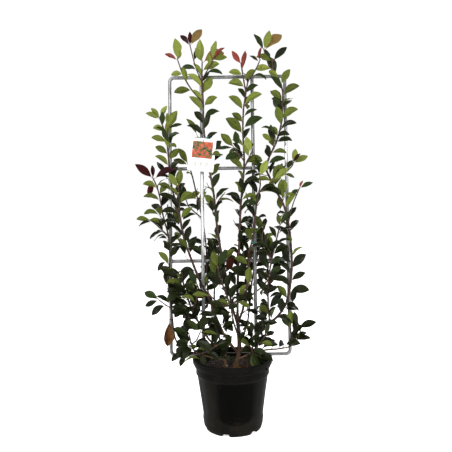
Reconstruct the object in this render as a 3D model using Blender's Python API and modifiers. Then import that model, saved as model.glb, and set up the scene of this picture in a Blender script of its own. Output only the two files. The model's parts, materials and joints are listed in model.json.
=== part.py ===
"""A potted photinia fanned out on a tube rack: plant, pot, rack and tag, in metres with +Z up.

The origin is the middle of the pot's flat underside. The viewer stands on the -Y side.
"""

import math
import random
from dataclasses import dataclass

import bmesh
import bpy
from mathutils import Matrix, Vector
from mathutils.bvhtree import BVHTree

# Gap that touching pieces keep
CLEAR = 0.0003
COLLAR = 0.0004
WELD = 0.000001

# Pot, turned about +Z
POT_HEIGHT = 0.2395
RIM_RADIUS = 0.140
LIP_HEIGHT = 0.018
COLLAR_RADIUS = 0.1345
COLLAR_HEIGHT = 0.011
WALL_TOP_RADIUS = 0.1275
HEEL_RADIUS = 0.1035
HEEL_HEIGHT = 0.020
FOOT_RADIUS = 0.0925
POT_WALL = 0.0025
POT_FLOOR = 0.004
POT_STEPS = 32
NOTCH_COUNT = 6
NOTCH_WIDTH = 0.024
NOTCH_HEIGHT = 0.011
NOTCH_DEPTH = 0.010
NOTCH_INSET = 0.006
LIP_TAPER = 0.0015
EDGE_EASE = 0.001
FOOT_EASE = 0.005
SOIL_TOP = 0.215

# Rack of welded tube, leaning back a little
TUBE_RADIUS = 0.00625
RACK_MIDDLE = -0.006
RACK_HALF_WIDTH = 0.210
RACK_FOOT = 0.2465
RACK_TOP = 1.2445
RACK_BARS = {"rack_lower_bar": 0.576, "rack_upper_bar": 0.9085}
RACK_LEGS = {"rack_left_leg": -0.094, "rack_right_leg": 0.090}
RACK_LEG_TOP = RACK_TOP + 0.016
RACK_LEG_FOOT = 0.110
RACK_BEND = 0.016
RACK_BEND_STEPS = 5
RACK_BEND_END = 0.004
RACK_DEPTH = 0.004
RACK_LEAN = math.radians(2.67)

# Card tag, hung on the left leg with a tie, and a second tie lower on the right leg
TAG_WIDTH = 0.092
TAG_HEIGHT = 0.118
TAG_THICKNESS = 0.0009
TAG_CORNER = 0.003
TAG_CORNER_STEPS = 3
TAG_TOP_MIDDLE = (-0.092, 0.0353, 1.0115)
TAG_TURN = math.radians(-6.5)
TIE_RADIUS = 0.0011
TIE_STEPS = 6
TIES = {
    "upper_tie": ("rack_left_leg", "left_centre_foliage", 1.0127),
    "lower_tie": ("rack_right_leg", "right_centre_foliage", 0.640),
}
TIE_SLACK = 0.0008

# Leaves
LEAF_WIDTH = 0.46
LEAF_THICKNESS = 0.016
LEAF_STEPS = 8
LEAF_ROOT = 0.0006
LEAF_TURN = 180
LEAF_SWELL = 1.04
LEAF_MARGIN = 0.0010
ROOT_SUNK = 0.004
LEAF_CYCLE = 4
LEAVES_KEPT = (0, 3)
LEAF_SPREAD = 32
LEAF_LIFT = (24, 44)
LIFT_FALL = 6
LEAF_SIZES = (0.84, 1.12)
TIP_SHORTENING = 0.12
LEAF_DROOP = (0.7, 1.3)
FAN_DROOP = (0.1, 0.4)
FAN_DEPTH = 0.3
FAN_TWIST = 0.45
LIGHT_SPREAD = 0.35
LIGHT_TURN = 1.05
LIGHT_UP = 0.75
TURN_HEIGHT = 0.72
TURN_BAND = 0.22

# What a leaf with no room tries, as a swing in degrees and a share of its length
TRIES = ((0, 1.0), (22, 1.0), (-22, 1.0), (44, 0.95), (-44, 0.95), (12, 0.8), (-12, 0.8))

# Seeded side twigs
TWIG_LEAVES = (0.5, 0.92)
TWIG_FIRST = 0.06
TWIG_SPAN = 0.66
TWIG_LIFT = (42, 60)
TWIG_REACH = (0.8, 1.15)
TWIG_BEND = 0.55
TWIG_RISE = 0.6
TWIG_LEAF_LIFT = (34, 60)
TWIG_LIFT_FALL = 20
TWIG_LEAF_SIZES = (0.78, 1.05)
TWIG_SIDES = 3
STEM_SIDES = 4
STEM_STEP = 0.034
LIMB_STEP = 0.034
TIP_RADIUS = 0.0011
SEED = 7


@dataclass
class Limb:
    """A bare stem: way-points as (x, distance in front of the rack's plane, z), and its radii."""

    points: tuple
    foot: float
    tip: float
    parent: str = ""
    flare: float = 1.0


@dataclass
class Stem:
    """A leafy stem: way-points as for a limb, and the rule for its leaves.

    A side stem springs from its mass's main stem at height springs_at. fan holds the bearing from
    upright, in degrees to the right, and the length of each leaf at the tip.
    """

    points: tuple
    foot: float
    gap: float = 0.021
    leaf: float = 0.074
    first: int = 0
    bare: float = 0.01
    springs_at: float = 0.0
    fan: tuple = ()


@dataclass
class Mass:
    """One mass of foliage: the limb that carries it, its stems and its seeded side twigs."""

    limb: str
    stems: tuple
    twigs: int = 0
    twig_length: float = 0.05


LIMBS = {
    "main_trunk": Limb(
        ((0.012, 0.038, SOIL_TOP), (0.024, 0.032, 0.275), (0.022, 0.024, 0.345), (0.0195, 0.021, 0.392)),
        0.0085, 0.0058, flare=1.35),
    "left_trunk": Limb(
        ((-0.024, 0.040, SOIL_TOP), (-0.026, 0.036, 0.238), (-0.025, 0.034, 0.266)),
        0.0062, 0.0048, flare=1.3),
    "centre_bough": Limb(
        ((0.0200, 0.0215, 0.382), (0.0205, 0.022, 0.430), (0.022, 0.024, 0.490)),
        0.0044, 0.0038, "main_trunk"),
    "left_centre_bough": Limb(
        ((0.022, 0.024, 0.346), (0.0085, 0.028, 0.392), (-0.002, 0.030, 0.436), (-0.010, 0.030, 0.480)),
        0.0042, 0.0037, "main_trunk"),
    "right_centre_bough": Limb(
        ((0.022, 0.023, 0.362), (0.037, 0.027, 0.402), (0.048, 0.029, 0.450), (0.054, 0.030, 0.495)),
        0.0042, 0.0034, "main_trunk"),
    "right_bough": Limb(
        ((0.023, 0.032, 0.262), (0.052, 0.034, 0.286), (0.090, 0.032, 0.322), (0.131, 0.028, 0.358),
         (0.165, 0.024, 0.388), (0.193, 0.021, 0.428)),
        0.0052, 0.0040, "main_trunk"),
    "left_bough": Limb(
        ((0.022, 0.033, 0.258), (-0.004, 0.040, 0.290), (-0.030, 0.044, 0.330), (-0.056, 0.042, 0.389),
         (-0.080, 0.036, 0.450), (-0.107, 0.032, 0.501)),
        0.0048, 0.0036, "main_trunk"),
    "lower_left_bough": Limb(
        ((-0.025, 0.034, 0.262), (-0.052, 0.032, 0.281), (-0.082, 0.030, 0.308), (-0.106, 0.028, 0.348),
         (-0.130, 0.024, 0.388)),
        0.0040, 0.0032, "left_trunk"),
    "far_left_bough": Limb(
        ((-0.026, 0.038, 0.236), (-0.070, 0.052, 0.250), (-0.125, 0.044, 0.262), (-0.172, 0.028, 0.274),
         (-0.198, 0.020, 0.306), (-0.207, 0.018, 0.356)),
        0.0036, 0.0028, "left_trunk"),
    "low_right_bough": Limb(
        ((0.016, 0.037, 0.238), (0.060, 0.044, 0.258), (0.110, 0.036, 0.269), (0.160, 0.028, 0.271),
         (0.198, 0.024, 0.276)),
        0.0036, 0.0026, "main_trunk"),
    "front_bough": Limb(
        ((0.023, 0.032, 0.300), (0.018, 0.056, 0.330), (0.006, 0.078, 0.372), (-0.002, 0.090, 0.420)),
        0.0034, 0.0026, "main_trunk"),
    "back_left_bough": Limb(
        ((-0.026, 0.037, 0.240), (-0.036, 0.006, 0.272), (-0.050, -0.028, 0.316), (-0.060, -0.052, 0.375)),
        0.0036, 0.0028, "left_trunk"),
    "back_right_bough": Limb(
        ((0.024, 0.031, 0.284), (0.038, 0.004, 0.312), (0.056, -0.030, 0.352), (0.066, -0.054, 0.410)),
        0.0036, 0.0028, "main_trunk"),
}

MASSES = {
    "left_centre_foliage": Mass("left_centre_bough", (
        Stem(((-0.010, 0.030, 0.480), (-0.032, 0.031, 0.592), (-0.049, 0.031, 0.707),
              (-0.059, 0.030, 0.817), (-0.078, 0.030, 0.930), (-0.091, 0.031, 1.050),
              (-0.092, 0.032, 1.142), (-0.096, 0.030, 1.215), (-0.095, 0.030, 1.292)),
             0.0037, gap=0.0215, leaf=0.074, first=0, bare=0.03,
             fan=((-4, 0.084), (50, 0.078), (-22, 0.056))),
        Stem(((-0.134, 0.031, 1.191), (-0.163, 0.032, 1.242), (-0.183, 0.034, 1.300)),
             0.0021, gap=0.034, leaf=0.060, first=0, bare=0.060, springs_at=1.140,
             fan=((-7, 0.084), (-52, 0.048), (12, 0.040))),
        Stem(((-0.120, 0.036, 1.278), (-0.138, 0.038, 1.352)),
             0.0016, gap=0.034, leaf=0.056, first=0, bare=0.050, springs_at=1.212,
             fan=((-36, 0.050), (0, 0.040), (33, 0.064))),
        Stem(((-0.071, 0.034, 1.268), (-0.056, 0.036, 1.298)),
             0.0016, gap=0.022, leaf=0.052, first=180, bare=0.026, springs_at=1.228,
             fan=((44, 0.050), (64, 0.046), (10, 0.060))),
        Stem(((-0.040, 0.044, 0.790), (-0.022, 0.052, 0.812)),
             0.0016, gap=0.022, leaf=0.070, first=180, bare=0.02, springs_at=0.765,
             fan=((42, 0.084), (-8, 0.064), (84, 0.058))),
    ), twigs=3, twig_length=0.040),
    "centre_foliage": Mass("centre_bough", (
        Stem(((0.022, 0.024, 0.490), (0.026, 0.028, 0.583), (0.031, 0.028, 0.667), (0.036, 0.028, 0.767),
              (0.045, 0.028, 0.850), (0.051, 0.028, 0.930), (0.048, 0.028, 1.040), (0.052, 0.028, 1.121),
              (0.060, 0.028, 1.174), (0.054, 0.030, 1.220), (0.045, 0.031, 1.282)),
             0.0038, gap=0.0215, leaf=0.070, first=180, bare=0.04,
             fan=((-27, 0.054), (14, 0.052))),
        Stem(((0.070, 0.030, 1.218), (0.092, 0.031, 1.250), (0.112, 0.033, 1.290)),
             0.0018, gap=0.034, leaf=0.060, first=0, bare=0.035, springs_at=1.172,
             fan=((8, 0.052), (-46, 0.036))),
        Stem(((0.064, 0.040, 0.930), (0.076, 0.046, 0.958)),
             0.0016, gap=0.022, leaf=0.066, first=180, bare=0.02, springs_at=0.902,
             fan=((34, 0.070), (-16, 0.060), (70, 0.064))),
        Stem(((0.030, 0.040, 0.955), (0.014, 0.044, 0.978)),
             0.0016, gap=0.025, leaf=0.066, first=0, bare=0.02, springs_at=0.930,
             fan=((-40, 0.072), (-84, 0.064))),
    ), twigs=2, twig_length=0.040),
    "right_centre_foliage": Mass("right_centre_bough", (
        Stem(((0.054, 0.030, 0.495), (0.060, 0.032, 0.560), (0.064, 0.034, 0.610), (0.077, 0.036, 0.656),
              (0.088, 0.036, 0.744), (0.098, 0.036, 0.806), (0.114, 0.036, 0.826), (0.134, 0.037, 0.836),
              (0.152, 0.038, 0.858)),
             0.0034, gap=0.021, leaf=0.078, first=0, bare=0.02,
             fan=((48, 0.074), (20, 0.066))),
        Stem(((0.106, 0.040, 0.842), (0.104, 0.044, 0.872)),
             0.0018, gap=0.022, leaf=0.072, first=180, bare=0.015, springs_at=0.806,
             fan=((-16, 0.078), (22, 0.066))),
    ), twigs=3, twig_length=0.045),
    "right_foliage": Mass("right_bough", (
        Stem(((0.193, 0.021, 0.428), (0.206, 0.020, 0.490), (0.213, 0.020, 0.560), (0.211, 0.020, 0.635),
              (0.205, 0.020, 0.700), (0.191, 0.020, 0.765), (0.163, 0.021, 0.822), (0.140, 0.023, 0.872),
              (0.130, 0.024, 0.902), (0.141, 0.024, 0.944), (0.168, 0.023, 1.000), (0.187, 0.022, 1.068),
              (0.192, 0.022, 1.130), (0.192, 0.022, 1.190), (0.174, 0.023, 1.240), (0.148, 0.024, 1.275),
              (0.128, 0.026, 1.334)),
             0.0040, gap=0.0215, leaf=0.070, first=0, bare=0.01,
             fan=((-31, 0.056), (14, 0.066), (38, 0.082), (146, 0.056))),
        Stem(((0.220, 0.026, 0.770), (0.237, 0.028, 0.812), (0.246, 0.030, 0.832)),
             0.0014, gap=0.050, leaf=0.050, first=180, bare=0.090, springs_at=0.706,
             fan=((60, 0.054), (24, 0.034), (-118, 0.042))),
        Stem(((0.214, 0.026, 0.902), (0.226, 0.028, 0.922)),
             0.0016, gap=0.020, leaf=0.056, first=0, bare=0.03, springs_at=0.848,
             fan=((12, 0.060), (60, 0.062), (34, 0.044))),
        Stem(((0.160, 0.030, 1.262), (0.157, 0.034, 1.290)),
             0.0015, gap=0.034, leaf=0.050, first=0, bare=0.03, springs_at=1.232,
             fan=((40, 0.058), (-70, 0.052))),
    ), twigs=4, twig_length=0.036),
    "inner_right_foliage": Mass("right_bough", (
        Stem(((0.131, 0.028, 0.358), (0.126, 0.042, 0.430), (0.127, 0.050, 0.500), (0.138, 0.050, 0.570),
              (0.160, 0.046, 0.655), (0.172, 0.044, 0.700)),
             0.0026, gap=0.019, leaf=0.070, first=0, bare=0.03,
             fan=((-10, 0.058), (34, 0.065))),
        Stem(((0.110, 0.052, 0.640), (0.112, 0.054, 0.690)),
             0.0018, gap=0.020, leaf=0.069, first=180, bare=0.02, springs_at=0.580,
             fan=((20, 0.062), (-24, 0.058))),
    ), twigs=4, twig_length=0.045),
    "left_foliage": Mass("left_bough", (
        Stem(((-0.107, 0.032, 0.501), (-0.127, 0.030, 0.550), (-0.145, 0.028, 0.598), (-0.160, 0.026, 0.640),
              (-0.172, 0.024, 0.690), (-0.181, 0.024, 0.740), (-0.201, 0.024, 0.812), (-0.214, 0.024, 0.880),
              (-0.220, 0.024, 0.960), (-0.229, 0.024, 1.030), (-0.250, 0.024, 1.090)),
             0.0036, gap=0.0215, leaf=0.070, first=180, bare=0.02,
             fan=((-33, 0.056), (-60, 0.064), (30, 0.044))),
        Stem(((-0.180, 0.036, 0.790), (-0.182, 0.042, 0.838)),
             0.0020, gap=0.022, leaf=0.070, first=0, bare=0.02, springs_at=0.735,
             fan=((6, 0.070), (44, 0.080), (-30, 0.062))),
        Stem(((-0.220, 0.034, 1.020), (-0.219, 0.038, 1.052)),
             0.0016, gap=0.022, leaf=0.062, first=180, bare=0.02, springs_at=0.985,
             fan=((26, 0.074), (-2, 0.060), (62, 0.044))),
    ), twigs=4, twig_length=0.040),
    "inner_left_foliage": Mass("left_bough", (
        Stem(((-0.080, 0.036, 0.450), (-0.086, 0.004, 0.500), (-0.088, -0.020, 0.560),
              (-0.092, -0.030, 0.640), (-0.104, -0.032, 0.730), (-0.122, -0.032, 0.810),
              (-0.140, -0.030, 0.890), (-0.154, -0.028, 0.930)),
             0.0026, gap=0.022, leaf=0.074, first=0, bare=0.06,
             fan=((-24, 0.080), (30, 0.066), (-60, 0.060))),
        Stem(((-0.150, -0.040, 0.770), (-0.164, -0.042, 0.800)),
             0.0016, gap=0.022, leaf=0.066, first=0, bare=0.02, springs_at=0.730,
             fan=((-20, 0.070), (50, 0.060))),
    ), twigs=3, twig_length=0.045),
    "lower_left_foliage": Mass("lower_left_bough", (
        Stem(((-0.130, 0.024, 0.388), (-0.150, 0.026, 0.436), (-0.166, 0.030, 0.486), (-0.172, 0.034, 0.540)),
             0.0031, gap=0.016, leaf=0.076, first=0, bare=0.01,
             fan=((22, 0.076), (-34, 0.067), (60, 0.070))),
        Stem(((-0.120, 0.056, 0.450), (-0.118, 0.066, 0.496)),
             0.0020, gap=0.018, leaf=0.072, first=180, bare=0.02, springs_at=0.402,
             fan=((30, 0.074), (-20, 0.065))),
    ), twigs=5, twig_length=0.050),
    "far_left_foliage": Mass("far_left_bough", (
        Stem(((-0.207, 0.018, 0.356), (-0.214, 0.018, 0.425), (-0.222, 0.018, 0.500), (-0.217, 0.018, 0.590),
              (-0.221, 0.018, 0.663), (-0.240, 0.020, 0.741), (-0.252, 0.022, 0.810), (-0.264, 0.023, 0.850),
              (-0.275, 0.024, 0.874)),
             0.0028, gap=0.023, leaf=0.070, first=0, bare=0.07,
             fan=((-44, 0.066), (-4, 0.050), (64, 0.060), (-162, 0.044))),
        Stem(((-0.262, 0.028, 0.706), (-0.280, 0.030, 0.722)),
             0.0014, gap=0.022, leaf=0.060, first=0, bare=0.02, springs_at=0.668,
             fan=((-72, 0.060), (-100, 0.056))),
        Stem(((-0.240, 0.026, 0.432), (-0.256, 0.028, 0.446)),
             0.0014, gap=0.022, leaf=0.060, first=0, bare=0.02, springs_at=0.412,
             fan=((-62, 0.066), (-110, 0.058))),
        Stem(((-0.2170, 0.042, 0.380),), 0.0014, springs_at=0.370, bare=0.06,
             fan=((-177, 0.090),)),
    ), twigs=3, twig_length=0.032),
    "low_left_foliage": Mass("far_left_bough", (
        Stem(((-0.125, 0.044, 0.262), (-0.138, 0.056, 0.292), (-0.146, 0.060, 0.330)),
             0.0022, gap=0.017, leaf=0.070, first=0, bare=0.012,
             fan=((-150, 0.074), (30, 0.064), (-60, 0.062))),
        Stem(((-0.104, 0.074, 0.270), (-0.076, 0.086, 0.284), (-0.056, 0.090, 0.298)),
             0.0016, gap=0.019, leaf=0.064, first=180, bare=0.02, springs_at=0.272,
             fan=((70, 0.060), (6, 0.060))),
        Stem(((-0.120, 0.076, 0.316), (-0.106, 0.080, 0.346)),
             0.0016, gap=0.019, leaf=0.068, first=180, bare=0.02, springs_at=0.296,
             fan=((16, 0.066), (-40, 0.060), (84, 0.060))),
    ), twigs=2, twig_length=0.034),
    "low_right_foliage": Mass("low_right_bough", (
        Stem(((0.198, 0.024, 0.276), (0.216, 0.026, 0.294), (0.224, 0.030, 0.322), (0.226, 0.032, 0.346)),
             0.0025, gap=0.017, leaf=0.062, first=0, bare=0.012,
             fan=((66, 0.070), (-8, 0.058))),
        Stem(((0.204, 0.036, 0.322), (0.200, 0.040, 0.346)),
             0.0016, gap=0.020, leaf=0.065, first=180, bare=0.02, springs_at=0.292,
             fan=((4, 0.063), (-34, 0.053))),
    ), twigs=2, twig_length=0.040),
    "low_front_foliage": Mass("low_right_bough", (
        Stem(((0.060, 0.044, 0.258), (0.066, 0.066, 0.270), (0.064, 0.084, 0.284)),
             0.0020, gap=0.017, leaf=0.054, first=180, bare=0.014,
             fan=((150, 0.062), (96, 0.052), (30, 0.044))),
        Stem(((0.090, 0.062, 0.296), (0.112, 0.062, 0.322)),
             0.0016, gap=0.018, leaf=0.056, first=0, bare=0.02, springs_at=0.270,
             fan=((14, 0.054), (70, 0.052), (-40, 0.050))),
    ), twigs=2, twig_length=0.030),
    "front_foliage": Mass("front_bough", (
        Stem(((-0.002, 0.090, 0.420), (-0.016, 0.096, 0.466), (-0.034, 0.096, 0.515), (-0.046, 0.094, 0.560)),
             0.0025, gap=0.017, leaf=0.070, first=0, bare=0.01,
             fan=((-60, 0.074), (24, 0.070), (-14, 0.062))),
        Stem(((0.032, 0.096, 0.462), (0.058, 0.098, 0.500)),
             0.0018, gap=0.019, leaf=0.068, first=180, bare=0.02, springs_at=0.432,
             fan=((20, 0.072), (64, 0.066))),
        Stem(((-0.046, 0.096, 0.444), (-0.072, 0.094, 0.466)),
             0.0018, gap=0.019, leaf=0.068, first=0, bare=0.02, springs_at=0.428,
             fan=((-30, 0.070), (-76, 0.066))),
    ), twigs=3, twig_length=0.040),
    "back_left_foliage": Mass("back_left_bough", (
        Stem(((-0.060, -0.052, 0.375), (-0.064, -0.064, 0.440), (-0.060, -0.070, 0.510),
              (-0.050, -0.072, 0.580), (-0.040, -0.072, 0.640)),
             0.0027, gap=0.018, leaf=0.072, first=180, bare=0.01,
             fan=((-34, 0.069), (28, 0.065))),
        Stem(((-0.110, -0.070, 0.450), (-0.134, -0.072, 0.500)),
             0.0018, gap=0.018, leaf=0.070, first=0, bare=0.02, springs_at=0.400,
             fan=((-24, 0.067), (40, 0.058))),
    ), twigs=3, twig_length=0.050),
    "back_right_foliage": Mass("back_right_bough", (
        Stem(((0.066, -0.054, 0.410), (0.074, -0.066, 0.480), (0.088, -0.072, 0.550),
              (0.108, -0.074, 0.620), (0.122, -0.074, 0.680)),
             0.0027, gap=0.018, leaf=0.070, first=0, bare=0.01,
             fan=((-20, 0.069), (40, 0.065))),
        Stem(((0.120, -0.068, 0.480), (0.150, -0.070, 0.520)),
             0.0018, gap=0.018, leaf=0.069, first=180, bare=0.02, springs_at=0.440,
             fan=((30, 0.065), (70, 0.058))),
    ), twigs=3, twig_length=0.050),
}

COLOURS = {
    "pot": ((0.012, 0.012, 0.013, 1), 0.55, 0.0),
    "soil": ((0.045, 0.028, 0.018, 1), 0.95, 0.0),
    "rack": ((0.52, 0.54, 0.56, 1), 0.38, 1.0),
    "bark": ((0.16, 0.085, 0.05, 1), 0.80, 0.0),
    "leaf": ((0.045, 0.095, 0.02, 1), 0.45, 0.0),
    "card": ((0.86, 0.86, 0.84, 1), 0.50, 0.0),
    "tie": ((0.02, 0.30, 0.26, 1), 0.50, 0.0),
}


def clear_scene():
    for old in list(bpy.data.objects):
        bpy.data.objects.remove(old)


def new_collection(name):
    collection = bpy.data.collections.new(name)
    bpy.context.scene.collection.children.link(collection)
    return collection


def material(name):
    """The named Principled material, made once."""
    found = bpy.data.materials.get(name)
    if found:
        return found
    colour, roughness, metallic = COLOURS[name]
    made = bpy.data.materials.new(name)
    made.use_nodes = True
    shader = made.node_tree.nodes["Principled BSDF"]
    shader.inputs["Base Color"].default_value = colour
    shader.inputs["Roughness"].default_value = roughness
    shader.inputs["Metallic"].default_value = metallic
    made.diffuse_color = colour
    return made


def add_object(name, data, collection, look):
    obj = bpy.data.objects.new(name, data)
    collection.objects.link(obj)
    obj.data.materials.clear()
    obj.data.materials.append(material(look))
    return obj


def as_cutter(obj):
    obj.hide_render = True
    obj.display_type = "WIRE"
    return obj


def mesh_of(obj):
    """The object's evaluated shape as a new closed mesh."""
    bpy.context.view_layer.update()
    graph = bpy.context.evaluated_depsgraph_get()
    made = bpy.data.meshes.new_from_object(obj.evaluated_get(graph))
    work = bmesh.new()
    work.from_mesh(made)
    bmesh.ops.remove_doubles(work, verts=work.verts, dist=WELD)
    bmesh.ops.recalc_face_normals(work, faces=work.faces)
    work.to_mesh(made)
    work.free()
    return made


def settle(obj):
    """Replaces the object by its evaluated mesh, with no modifier or curve left."""
    name, matrix = obj.name, obj.matrix_world.copy()
    collection = obj.users_collection[0]
    made = mesh_of(obj)
    bpy.data.objects.remove(obj)
    solid = bpy.data.objects.new(name, made)
    collection.objects.link(solid)
    solid.matrix_world = matrix
    return solid


def cut(obj, cutter):
    """Takes the cutter away from the object for good."""
    step = obj.modifiers.new("cut", "BOOLEAN")
    step.operation = "DIFFERENCE"
    step.object = cutter
    return settle(obj)


def rack_plane(z):
    """Depth of the plane of the rack's bars at height z."""
    return RACK_DEPTH + math.tan(RACK_LEAN) * (z - RACK_FOOT)


def placed(point):
    """A way-point (x, distance in front of the rack's plane, z) as a place in the world."""
    x, forward, z = point
    return Vector((x, rack_plane(z) - forward, z))


def smooth_path(corners, step):
    """Points about a step apart on a smooth curve through the corners."""
    ends = [corners[0] * 2 - corners[1], *corners, corners[-1] * 2 - corners[-2]]
    path = []
    for before, start, end, after in zip(ends, ends[1:], ends[2:], ends[3:]):
        pieces = max(1, round((end - start).length / step))
        for i in range(pieces):
            t = i / pieces
            path.append(0.5 * (
                2 * start + (end - before) * t
                + (2 * before - 5 * start + 4 * end - after) * t * t
                + (3 * start - before - 3 * end + after) * t ** 3))
    return [*path, corners[-1]]


def taper(foot, tip, count, flare=1.0):
    """Radii from foot to tip, the first widened by the root flare and the second by a little of it."""
    radii = [foot + (tip - foot) * i / (count - 1) for i in range(count)]
    radii[0] *= flare
    if count > 2:
        radii[1] *= 1 + (flare - 1) * 0.25
    return radii


def curve_tube(name, points, radii, collection, look, resolution=2):
    """A curve object with a round bevel and filled caps, its radius given at each point."""
    data = bpy.data.curves.new(name, "CURVE")
    data.dimensions = "3D"
    data.bevel_depth = 1.0
    data.bevel_resolution = resolution
    data.use_fill_caps = True
    line = data.splines.new("POLY")
    line.points.add(len(points) - 1)
    for slot, point, radius in zip(line.points, points, radii):
        slot.co = (*point, 1)
        slot.radius = radius
    return add_object(name, data, collection, look)


def level_foot(solid, height):
    """Presses the points below the height up to it, so that the foot is a flat cut."""
    for corner in solid.data.vertices:
        corner.co.z = max(corner.co.z, height)


def ring_frame(along):
    """Two directions square to this one and to each other."""
    side = along.cross(Vector((0, 1, 0)))
    if side.length < 0.1:
        side = along.cross(Vector((1, 0, 0)))
    side.normalize()
    return side, side.cross(along).normalized()


def tangents(path):
    """The direction of the path at each of its points."""
    ahead = [*path[1:], path[-1]]
    behind = [path[0], *path[:-1]]
    return [(a - b).normalized() for a, b in zip(ahead, behind)]


def twig_mesh(name, path, radii, sides):
    """A tapering twig with flat sides and closed ends."""
    work = bmesh.new()
    rings = []
    for centre, along, radius in zip(path, tangents(path), radii):
        side, up = ring_frame(along)
        angles = [2 * math.pi * i / sides for i in range(sides)]
        rings.append([
            work.verts.new(centre + radius * (math.cos(a) * side + math.sin(a) * up)) for a in angles])
    for lower, upper in zip(rings, rings[1:]):
        for i in range(sides):
            j = (i + 1) % sides
            work.faces.new((lower[i], lower[j], upper[j], upper[i]))
    work.faces.new(rings[0][::-1])
    work.faces.new(rings[-1])
    bmesh.ops.recalc_face_normals(work, faces=work.faces)
    data = bpy.data.meshes.new(name)
    work.to_mesh(data)
    work.free()
    return data


def light_side(height, rng):
    """Where an upper face turns: to the front low on the plant, and away from it high up."""
    away = min(1.0, max(-1.0, (height - TURN_HEIGHT) / TURN_BAND))
    across = rng.uniform(-FAN_TWIST, FAN_TWIST)
    depth = LIGHT_TURN * away + rng.uniform(-LIGHT_SPREAD, LIGHT_SPREAD)
    return Vector((across, depth, LIGHT_UP)).normalized()


def leaf_line(root, heading, length, droop, steps):
    """Points and directions along a leaf's midrib, which bends down by droop radians in all."""
    point, along = root.copy(), heading.normalized()
    line = [(point.copy(), along.copy())]
    for _ in range(steps):
        along = (along + Vector((0, 0, -1)) * (droop / steps)).normalized()
        point = point + along * (length / steps)
        line.append((point.copy(), along.copy()))
    return line


def leaf_shape(leaf, swell=1.0, extra=0.0):
    """Corners and faces of one leaf: two at its root, three round its edge and one in each face's middle."""
    root, heading, length, droop, light = leaf
    line = leaf_line(root, heading, length * swell, droop, LEAF_STEPS)
    middle, along = line[LEAF_STEPS // 2]
    normal = (light - along * light.dot(along)).normalized()
    side = along.cross(normal) * LEAF_WIDTH * length * swell / 2
    up = normal * (LEAF_THICKNESS * length / 2 + extra)
    first = (light - line[0][1] * light.dot(line[0][1])).normalized() * LEAF_ROOT
    corners = [root + first, root - first, middle + side, line[-1][0], middle - side, middle + up,
               middle - up]
    faces = [(0, 2, 5), (2, 3, 5), (3, 4, 5), (4, 0, 5), (2, 1, 6), (3, 2, 6), (4, 3, 6), (1, 4, 6),
             (0, 1, 2), (1, 0, 4)]
    return corners, faces


def leaf_tree(shape):
    return BVHTree.FromPolygons(*shape)


def turned(along, angle, lift):
    """The direction that leaves a stem at this turn round it and this angle from its tip."""
    side, up = ring_frame(along)
    out = math.cos(angle) * side + math.sin(angle) * up
    return (math.cos(lift) * along + math.sin(lift) * out).normalized()


def along_path(path, distance):
    """The point and direction at a distance from the path's foot."""
    for start, end in zip(path, path[1:]):
        span = (end - start).length
        if distance <= span:
            return start.lerp(end, distance / span), (end - start).normalized()
        distance -= span
    return path[-1], (path[-1] - path[-2]).normalized()


def path_length(path):
    return sum((b - a).length for a, b in zip(path, path[1:]))


def height_on(path, z):
    """The first point of a rising path at this height."""
    for start, end in zip(path, path[1:]):
        if start.z <= z < end.z:
            return start.lerp(end, (z - start.z) / (end.z - start.z))
    return path[0]


def stem_paths(mass):
    """The path of each stem of a mass: its main stem first, then the side stems that spring from it."""
    main = smooth_path([placed(p) for p in mass.stems[0].points], STEM_STEP)
    paths = [main]
    for stem in mass.stems[1:]:
        root = height_on(main, stem.springs_at)
        paths.append(smooth_path([root, *(placed(p) for p in stem.points)], STEM_STEP))
    return paths


def twig_paths(mass, main, name):
    """Short seeded twigs, spread along the main stem and turned round it in steps."""
    whole = path_length(main)
    paths = []
    for i in range(mass.twigs):
        rng = random.Random(f"{SEED} {name} twig path {i}")
        share = (i + rng.uniform(0.3, 0.7)) / mass.twigs
        root, along = along_path(main, whole * (TWIG_FIRST + TWIG_SPAN * share))
        angle = math.radians(LEAF_TURN * 2 * i + rng.uniform(0, 60))
        heading = turned(along, angle, math.radians(rng.uniform(*TWIG_LIFT)))
        reach = mass.twig_length * rng.uniform(*TWIG_REACH)
        bend = root + heading * reach * TWIG_BEND
        upward = (heading + Vector((0, 0, TWIG_RISE))).normalized()
        paths.append([root, bend, bend + upward * reach * (1 - TWIG_BEND)])
    return paths


def stem_leaves(path, stem, name):
    """Root, heading, length, droop and light of the leaves along one stem, then of its tip leaves."""
    whole = path_length(path)
    leaves = []
    count = max(0, int((whole - stem.bare) / stem.gap))
    for i in range(count):
        if i % LEAF_CYCLE not in LEAVES_KEPT:
            continue
        rng = random.Random(f"{SEED} {name} {i}")
        distance = stem.bare + stem.gap * i
        share = distance / whole
        root, along = along_path(path, distance)
        angle = math.radians(stem.first + LEAF_TURN * i + rng.uniform(-LEAF_SPREAD, LEAF_SPREAD))
        lift = math.radians(rng.uniform(*LEAF_LIFT) - LIFT_FALL * share)
        length = stem.leaf * rng.uniform(*LEAF_SIZES) * (1 - TIP_SHORTENING * share)
        leaves.append((root, turned(along, angle, lift), length, rng.uniform(*LEAF_DROOP),
                       light_side(root.z, rng)))
    tip = path[-1] - (path[-1] - path[-2]).normalized() * ROOT_SUNK
    for bearing, length in stem.fan:
        rng = random.Random(f"{SEED} {name} fan {bearing}")
        tilt = math.radians(bearing)
        heading = Vector((math.sin(tilt), rng.uniform(-FAN_DEPTH, FAN_DEPTH), math.cos(tilt)))
        leaves.append((tip, heading, length, rng.uniform(*FAN_DROOP), light_side(tip.z, rng)))
    return leaves


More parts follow.
